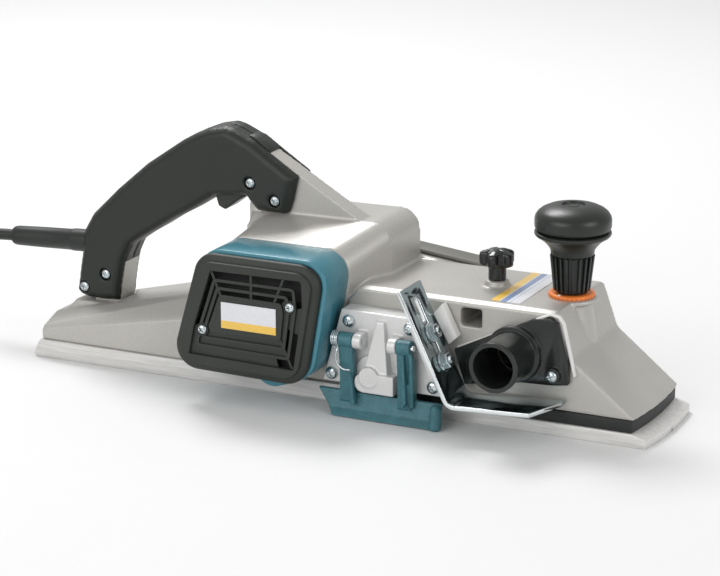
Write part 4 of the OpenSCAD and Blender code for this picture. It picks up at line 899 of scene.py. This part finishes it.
for level in (*LEVELS[1:3], 0.97):
    plan_line([on_level(i, level) for i in range(8)], True)
loops_plan = bpy.data.meshes.new("loops_plan")
loops_plan.from_pydata(plan_points, plan_edges, [])
plan_points, plan_edges = [], []
for rib_ends in (((-65, 90.7), (-57.9, 73.9)), ((-36, 91), (-36, 74)), ((-12.5, 91.2), (-19.5, 74)),
                 ((-6.5, 32), (-15, 50))):
    plan_line(rib_ends)
ribs_plan = bpy.data.meshes.new("ribs_plan")
ribs_plan.from_pydata(plan_points, plan_edges, [])
BAR_DEPTH = 1.6
UPRIGHT = Matrix.Rotation(math.pi / 2, 4, "X")
for name, plan, width, front in (("grille_bars", loops_plan, 2.0, -78.95),
                                 ("grille_ribs", ribs_plan, 1.7, -78.6)):
    bar_mesh = grow(bar_tree, plan, Bar_width=width * MM, Bar_depth=BAR_DEPTH * MM, Corner=2.2 * MM,
                    Material=paint["cap_black"])
    bar_mesh.transform(Matrix.Translation((0, (front + BAR_DEPTH / 2) * MM, 0)) @ UPRIGHT)
    hand_in(make_object(name, bar_mesh, paint["cap_black"], 28), body="planer")
# A black sheet inside the cap, behind the open cells: painted shade standing for the dark space inside the
# motor.
dark = plate([tuple(p) for p in housing_loop(-5.6, angles[::4])], -71.5, -70.5)
hand_in(make_object("grille_dark", dark, paint["painted_void_shade"], 28), body="planer")
wells = joined(*[turned([(3.5, 0), (4.5, 0), (4.6, 2.6), (4.3, 3.0), (3.8, 3.0), (3.5, 2.6), (3.5, 0)],
                        (x, -76.2, z), (0, -1, 0), 40) for x, z in grille_fixings])
hand_in(make_object("grille_screw_wells", wells, paint["cap_black"], 40), body="planer")

# %% [markdown]
# ## Badge and deck label
#
# Both are printed foil. The print is plain bands of colour with no words: a material
# reads the place on the piece and picks a band, and fine ruled lines stand for the small
# print of such a label.

# %% Printed foil
def maths(mat, operation, first, second):
    """One maths node on a socket and a number, or on two sockets."""
    node = add(mat, "ShaderNodeMath")
    node.operation = operation
    wire(mat, first, node.inputs[0])
    if isinstance(second, float):
        node.inputs[1].default_value = second
    else:
        wire(mat, second, node.inputs[1])
    return node.outputs[0]


def banded(name, axis, bands, rough=0.3, rules=None):
    """Foil whose colour changes at given places in mm along an axis."""
    mat = bpy.data.materials.new(name)
    mat.use_nodes = True
    skin = mat.node_tree.nodes["Principled BSDF"]
    skin.inputs["Roughness"].default_value = rough
    skin.inputs["Coat Weight"].default_value = 0.4
    split = add(mat, "ShaderNodeSeparateXYZ")
    wire(mat, object_point(mat), split.inputs[0])
    low, high = bands[0][0], bands[-1][0]
    share = add(mat, "ShaderNodeMapRange", From_Min=low * MM, From_Max=high * MM)
    wire(mat, split.outputs[axis], share.inputs["Value"])
    stops = [((p - low) / (high - low), c) for p, c in bands[:-1]]
    colours = ramp(mat, share.outputs["Result"], *stops)
    mat.node_tree.nodes[-1].color_ramp.interpolation = "CONSTANT"
    if rules:
        spacing, start, end, ink, across = rules
        wave = maths(mat, "PINGPONG", split.outputs[across], spacing * MM)
        thin = maths(mat, "GREATER_THAN", wave, spacing * MM * 0.45)
        after = maths(mat, "GREATER_THAN", split.outputs[axis], start * MM)
        before = maths(mat, "LESS_THAN", split.outputs[axis], end * MM)
        inside = maths(mat, "MULTIPLY", after, before)
        ruled = maths(mat, "MULTIPLY", inside, thin)
        colours = mix(mat, "MIX", ruled, colours, (*ink, 1))
    wear = ramp(mat, noise(mat, object_point(mat), 700), (0.3, (0.93, 0.93, 0.93)), (0.7, (1, 1, 1)))
    wire(mat, mix(mat, "MULTIPLY", 1.0, colours, wear), skin.inputs["Base Color"])
    return mat


WHITE, YELLOW, BLUE = (0.72, 0.73, 0.76), (0.86, 0.55, 0.09), (0.06, 0.13, 0.34)
badge_print = banded("badge_print", "Z", [(53.2, YELLOW), (58.4, WHITE), (70.8, WHITE)], 0.32)
label_print = banded("label_print", "X", [(112.5, YELLOW), (118.2, WHITE), (119.0, (0.36, 0.45, 0.62)),
                                          (123.4, WHITE), (125.4, (0.45, 0.52, 0.66)), (126.1, WHITE),
                                          (132.6, WHITE)], 0.34, (0.9, 119.0, 123.4, BLUE, "Y"))


def foil(x, y, z, mat, name, node):
    mesh = worked(box(x, y, z), ("BEVEL", {"width": 0.12 * MM, "segments": 2}))
    return hand_in(make_object(name, mesh, mat, 30), node)


foil((-57.6, -17.8), (-79.5, -78.7), (53.2, 70.7), badge_print, "maker_badge", "badge_plate")
foil((112.5, 132.5), (-33, 36), (81.45, 81.9), label_print, "deck_label_foil", "deck_label")

# %% [markdown]
# ## Rebate side
#
# A thick cast plate carries the cutter's bearing, with a boss, a tapered rib and two ears
# for the guard. Guard and plate are small castings, so they are remeshed like the body,
# on a finer grid. The guard gains the lip and the ribs that stiffen its arms.

# %% Bearing plate
plate_mesh = moulded(merged_copy("side_plate", flat=0), 0.55, 4, 120000)
bearing_plate = make_object("bearing_side_plate", plate_mesh, paint["plate_silver"], 60)
hand_in(bearing_plate, "side_plate")

# %% Raised rim above the outlet flange
rim_plan = bpy.data.meshes.new("rim_plan")
rim_points = [(94, 50.6), (157.6, 80.6), (163.4, 79.6), (166.4, 75.6), (174.6, 42)]
rim_plan.from_pydata([(x * MM, z * MM, 0) for x, z in rim_points], [(i, i + 1) for i in range(4)], [])
rim_mesh = grow(bar_tree, rim_plan, Bar_width=1.5 * MM, Bar_depth=3.2 * MM, Corner=2 * MM,
                Material=paint["cast_silver"])
rim_mesh.transform(Matrix.Translation((0, -42.4 * MM, 0)) @ UPRIGHT)
rim_mesh = worked(rim_mesh, ("BEVEL", {"width": 0.5 * MM, "segments": 2}))
# The rim takes the same light finish: a painted highlight line along its edge.
hand_in(make_object("outlet_flange_rim", rim_mesh, paint["fresh_cast"], 40), body="planer")

# %% Guard
lip = turned([(0, 0), (3.0, 0), (3.9, 1.2), (3.9, 14.5), (2.6, 16.5), (0, 17)], (88.6, -65.6, 0.2),
             (0, 0.12, 1), 24)
fin = plate([(66.2, 48), (67.6, 48), (69.2, 16), (66.2, 12)], -68.2, -62)
left_fin = plate([(28.2, 30), (29.7, 30), (32.5, 10), (29.4, 10)], -67.2, -62)
guard_mesh = joined(merged_copy("guard", flat=0), lip, fin, left_fin)
rebate_guard = make_object("rebate_guard_casting", moulded(guard_mesh, 0.5, 3, 90000),
                           paint["teal_cast"], 60)
hand_in(rebate_guard, "guard")

# %% Guard spring
SPRING_R, SPRING_STEP = 4.6, 0.42
turns = [(14.9 + 4.9 * i / 60, -62 + SPRING_R * math.cos(i * SPRING_STEP),
          51.5 + SPRING_R * math.sin(i * SPRING_STEP)) for i in range(61)]
spring_legs = [(19.8, -66.4, 46), (19.4, -67, 38), (24, -67.4, 33.4), (29.2, -67.2, 33)]
spring_line = smooth_line(turns + spring_legs, 1.0)
spring_mesh = plain_mesh(tube("spring_wire", [p * MM for p in spring_line], 0.6 * MM, 2))
hand_in(make_object("guard_torsion_spring", spring_mesh, paint["zinc"], 60), "guard_spring")

# %% Bolts of the depth stop
lean = math.radians(25.5)
leg_up = Vector((-math.sin(lean), 0, math.cos(lean)))
leg_out = Vector((math.cos(lean), 0, math.sin(lean)))
WASHER = [(0, 1.6), (6.4, 1.6), (6.6, 1.9), (6.6, 2.6), (6.3, 2.9), (0, 2.9)]
HEX_HEAD = [(0, 2.9), (4.9, 2.9), (5.2, 3.3), (5.2, 6.4), (4.6, 7.0), (2.6, 7.1), (2.4, 8.2), (1.9, 8.6),
            (0, 8.6)]
SHANK = [(0, -9), (2.35, -9), (2.35, 2), (0, 2)]
bolt_parts = []
for reach in (16, 36):
    base = Vector((97, -60, 30)) + leg_up * reach
    for bolt_profile, sides in ((WASHER, 40), (HEX_HEAD, 6), (SHANK, 24)):
        bolt_parts.append(turned(bolt_profile, base, leg_out, sides))
hand_in(make_object("stop_bolts_and_washers", joined(*bolt_parts), paint["zinc"], 25), "stop_bolts")

# %% [markdown]
# ## Boot, plug and the last plastics
#
# The boot is a rubber taper with a collar where it leaves the handle. The plug is turned
# from one profile, with a ring of grip ribs and two round pins.

# %% Boot
slope = math.radians(3)
boot_axis = (-math.cos(slope), 0, -math.sin(slope))
boot = turned([(0, 0), (7.8, 0), (7.8, 21), (7.6, 23), (7.3, 24), (7.2, 45), (6.9, 62), (6.8, 67),
               (6.5, 69), (6.0, 70), (4.0, 70), (0, 70)], (-193, 0, 75), boot_axis, 48)
boot_piece = make_object("cord_boot", boot, paint["cord_rubber"], 40)
hand_in(boot_piece, "strain_relief")

# %% Plug
PLUG_Y, PLUG_Z = -74, 18
plug = turned([(0, 0), (5.2, 0), (5.9, 0.6), (6.2, 3), (7.6, 22), (9.4, 25.5), (12.4, 29), (15.4, 34),
               (16.8, 38), (17.3, 42), (17.3, 56.4), (16.8, 57.6), (15.8, 58), (0, 58)],
              (-392, PLUG_Y, PLUG_Z), (1, 0, 0), 64)
plug_ribs = grow(rib_tree, points_mesh([]), Count=18, Radius=16.6 * MM,
                 Rib_size=(1.2 * MM, 2.2 * MM, 12 * MM), Lean=(0, 0, 0),
                 Place=(-343 * MM, PLUG_Y * MM, PLUG_Z * MM), Turn=(0, math.pi / 2, 0),
                 Material=paint["black_satin"])
plug_piece = make_object("mains_plug", joined(plug, plug_ribs), paint["black_satin"], 35)
hand_in(plug_piece, "plug_body")
pins = joined(*[turned([(0, -1), (2.4, -1), (2.4, 16.4), (2.0, 17.8), (1.2, 18.8), (0, 19)],
                       (-334, PLUG_Y + side * 9.5, PLUG_Z), (1, 0, 0), 28) for side in (-1, 1)])
pin_piece = make_object("mains_plug_pins", pins, paint["brass"], 35)
hand_in(pin_piece, "plug_pins")

# %% [markdown]
# ## Floor and light
#
# The planer stands on a plain white bench in soft light. A panel high behind it on the
# left is the key light, a second one fills the rebate side, a third the nose, and a pale
# world keeps the shadows light.

# %% Floor
floor_mesh = bpy.data.meshes.new("bench")
BENCH_HALF = 6
corners = [(x * BENCH_HALF, y * BENCH_HALF, 0) for x, y in ((-1, -1), (1, -1), (1, 1), (-1, 1))]
floor_mesh.from_pydata(corners, [], [(0, 1, 2, 3)])
bench_paint = finish("bench_white", (0.76, 0.76, 0.76), 0.7, 0, 0.004, 2, 0.002, 60, 0.01)
floor = make_object("bench", floor_mesh, bench_paint, None)
world = bpy.data.worlds.new("pale_room")
bpy.context.scene.world = world
world.use_nodes = True
world.node_tree.nodes["Background"].inputs["Color"].default_value = (1.0, 1.0, 1.0, 1)
world.node_tree.nodes["Background"].inputs["Strength"].default_value = 0.56
print("floor", [round(v, 1) for v in floor.dimensions])


# %% Lights
def panel(name, place, aim, size, power):
    """A soft rectangular light aimed at a point."""
    lamp = bpy.data.lights.new(name, "AREA")
    lamp.shape = "RECTANGLE"
    lamp.size, lamp.size_y = size
    lamp.energy = power
    holder = bpy.data.objects.new(name, lamp)
    holder.location = place
    holder.rotation_euler = (Vector(aim) - Vector(place)).to_track_quat("-Z", "Y").to_euler()
    bpy.context.collection.objects.link(holder)
    return holder


panel("key_panel", (-0.8, 0.75, 1.6), (0, 0, 0.05), (0.8, 0.6), 25)
panel("front_panel", (-0.5, -1.9, 1.0), (0, 0, 0.08), (1.6, 1.0), 15)
panel("nose_panel", (1.8, -0.4, 0.9), (0.1, 0, 0.08), (0.9, 0.9), 9)
bpy.context.scene.view_settings.view_transform = "Standard"
bpy.context.scene.view_settings.look = "None"
print("three panels")
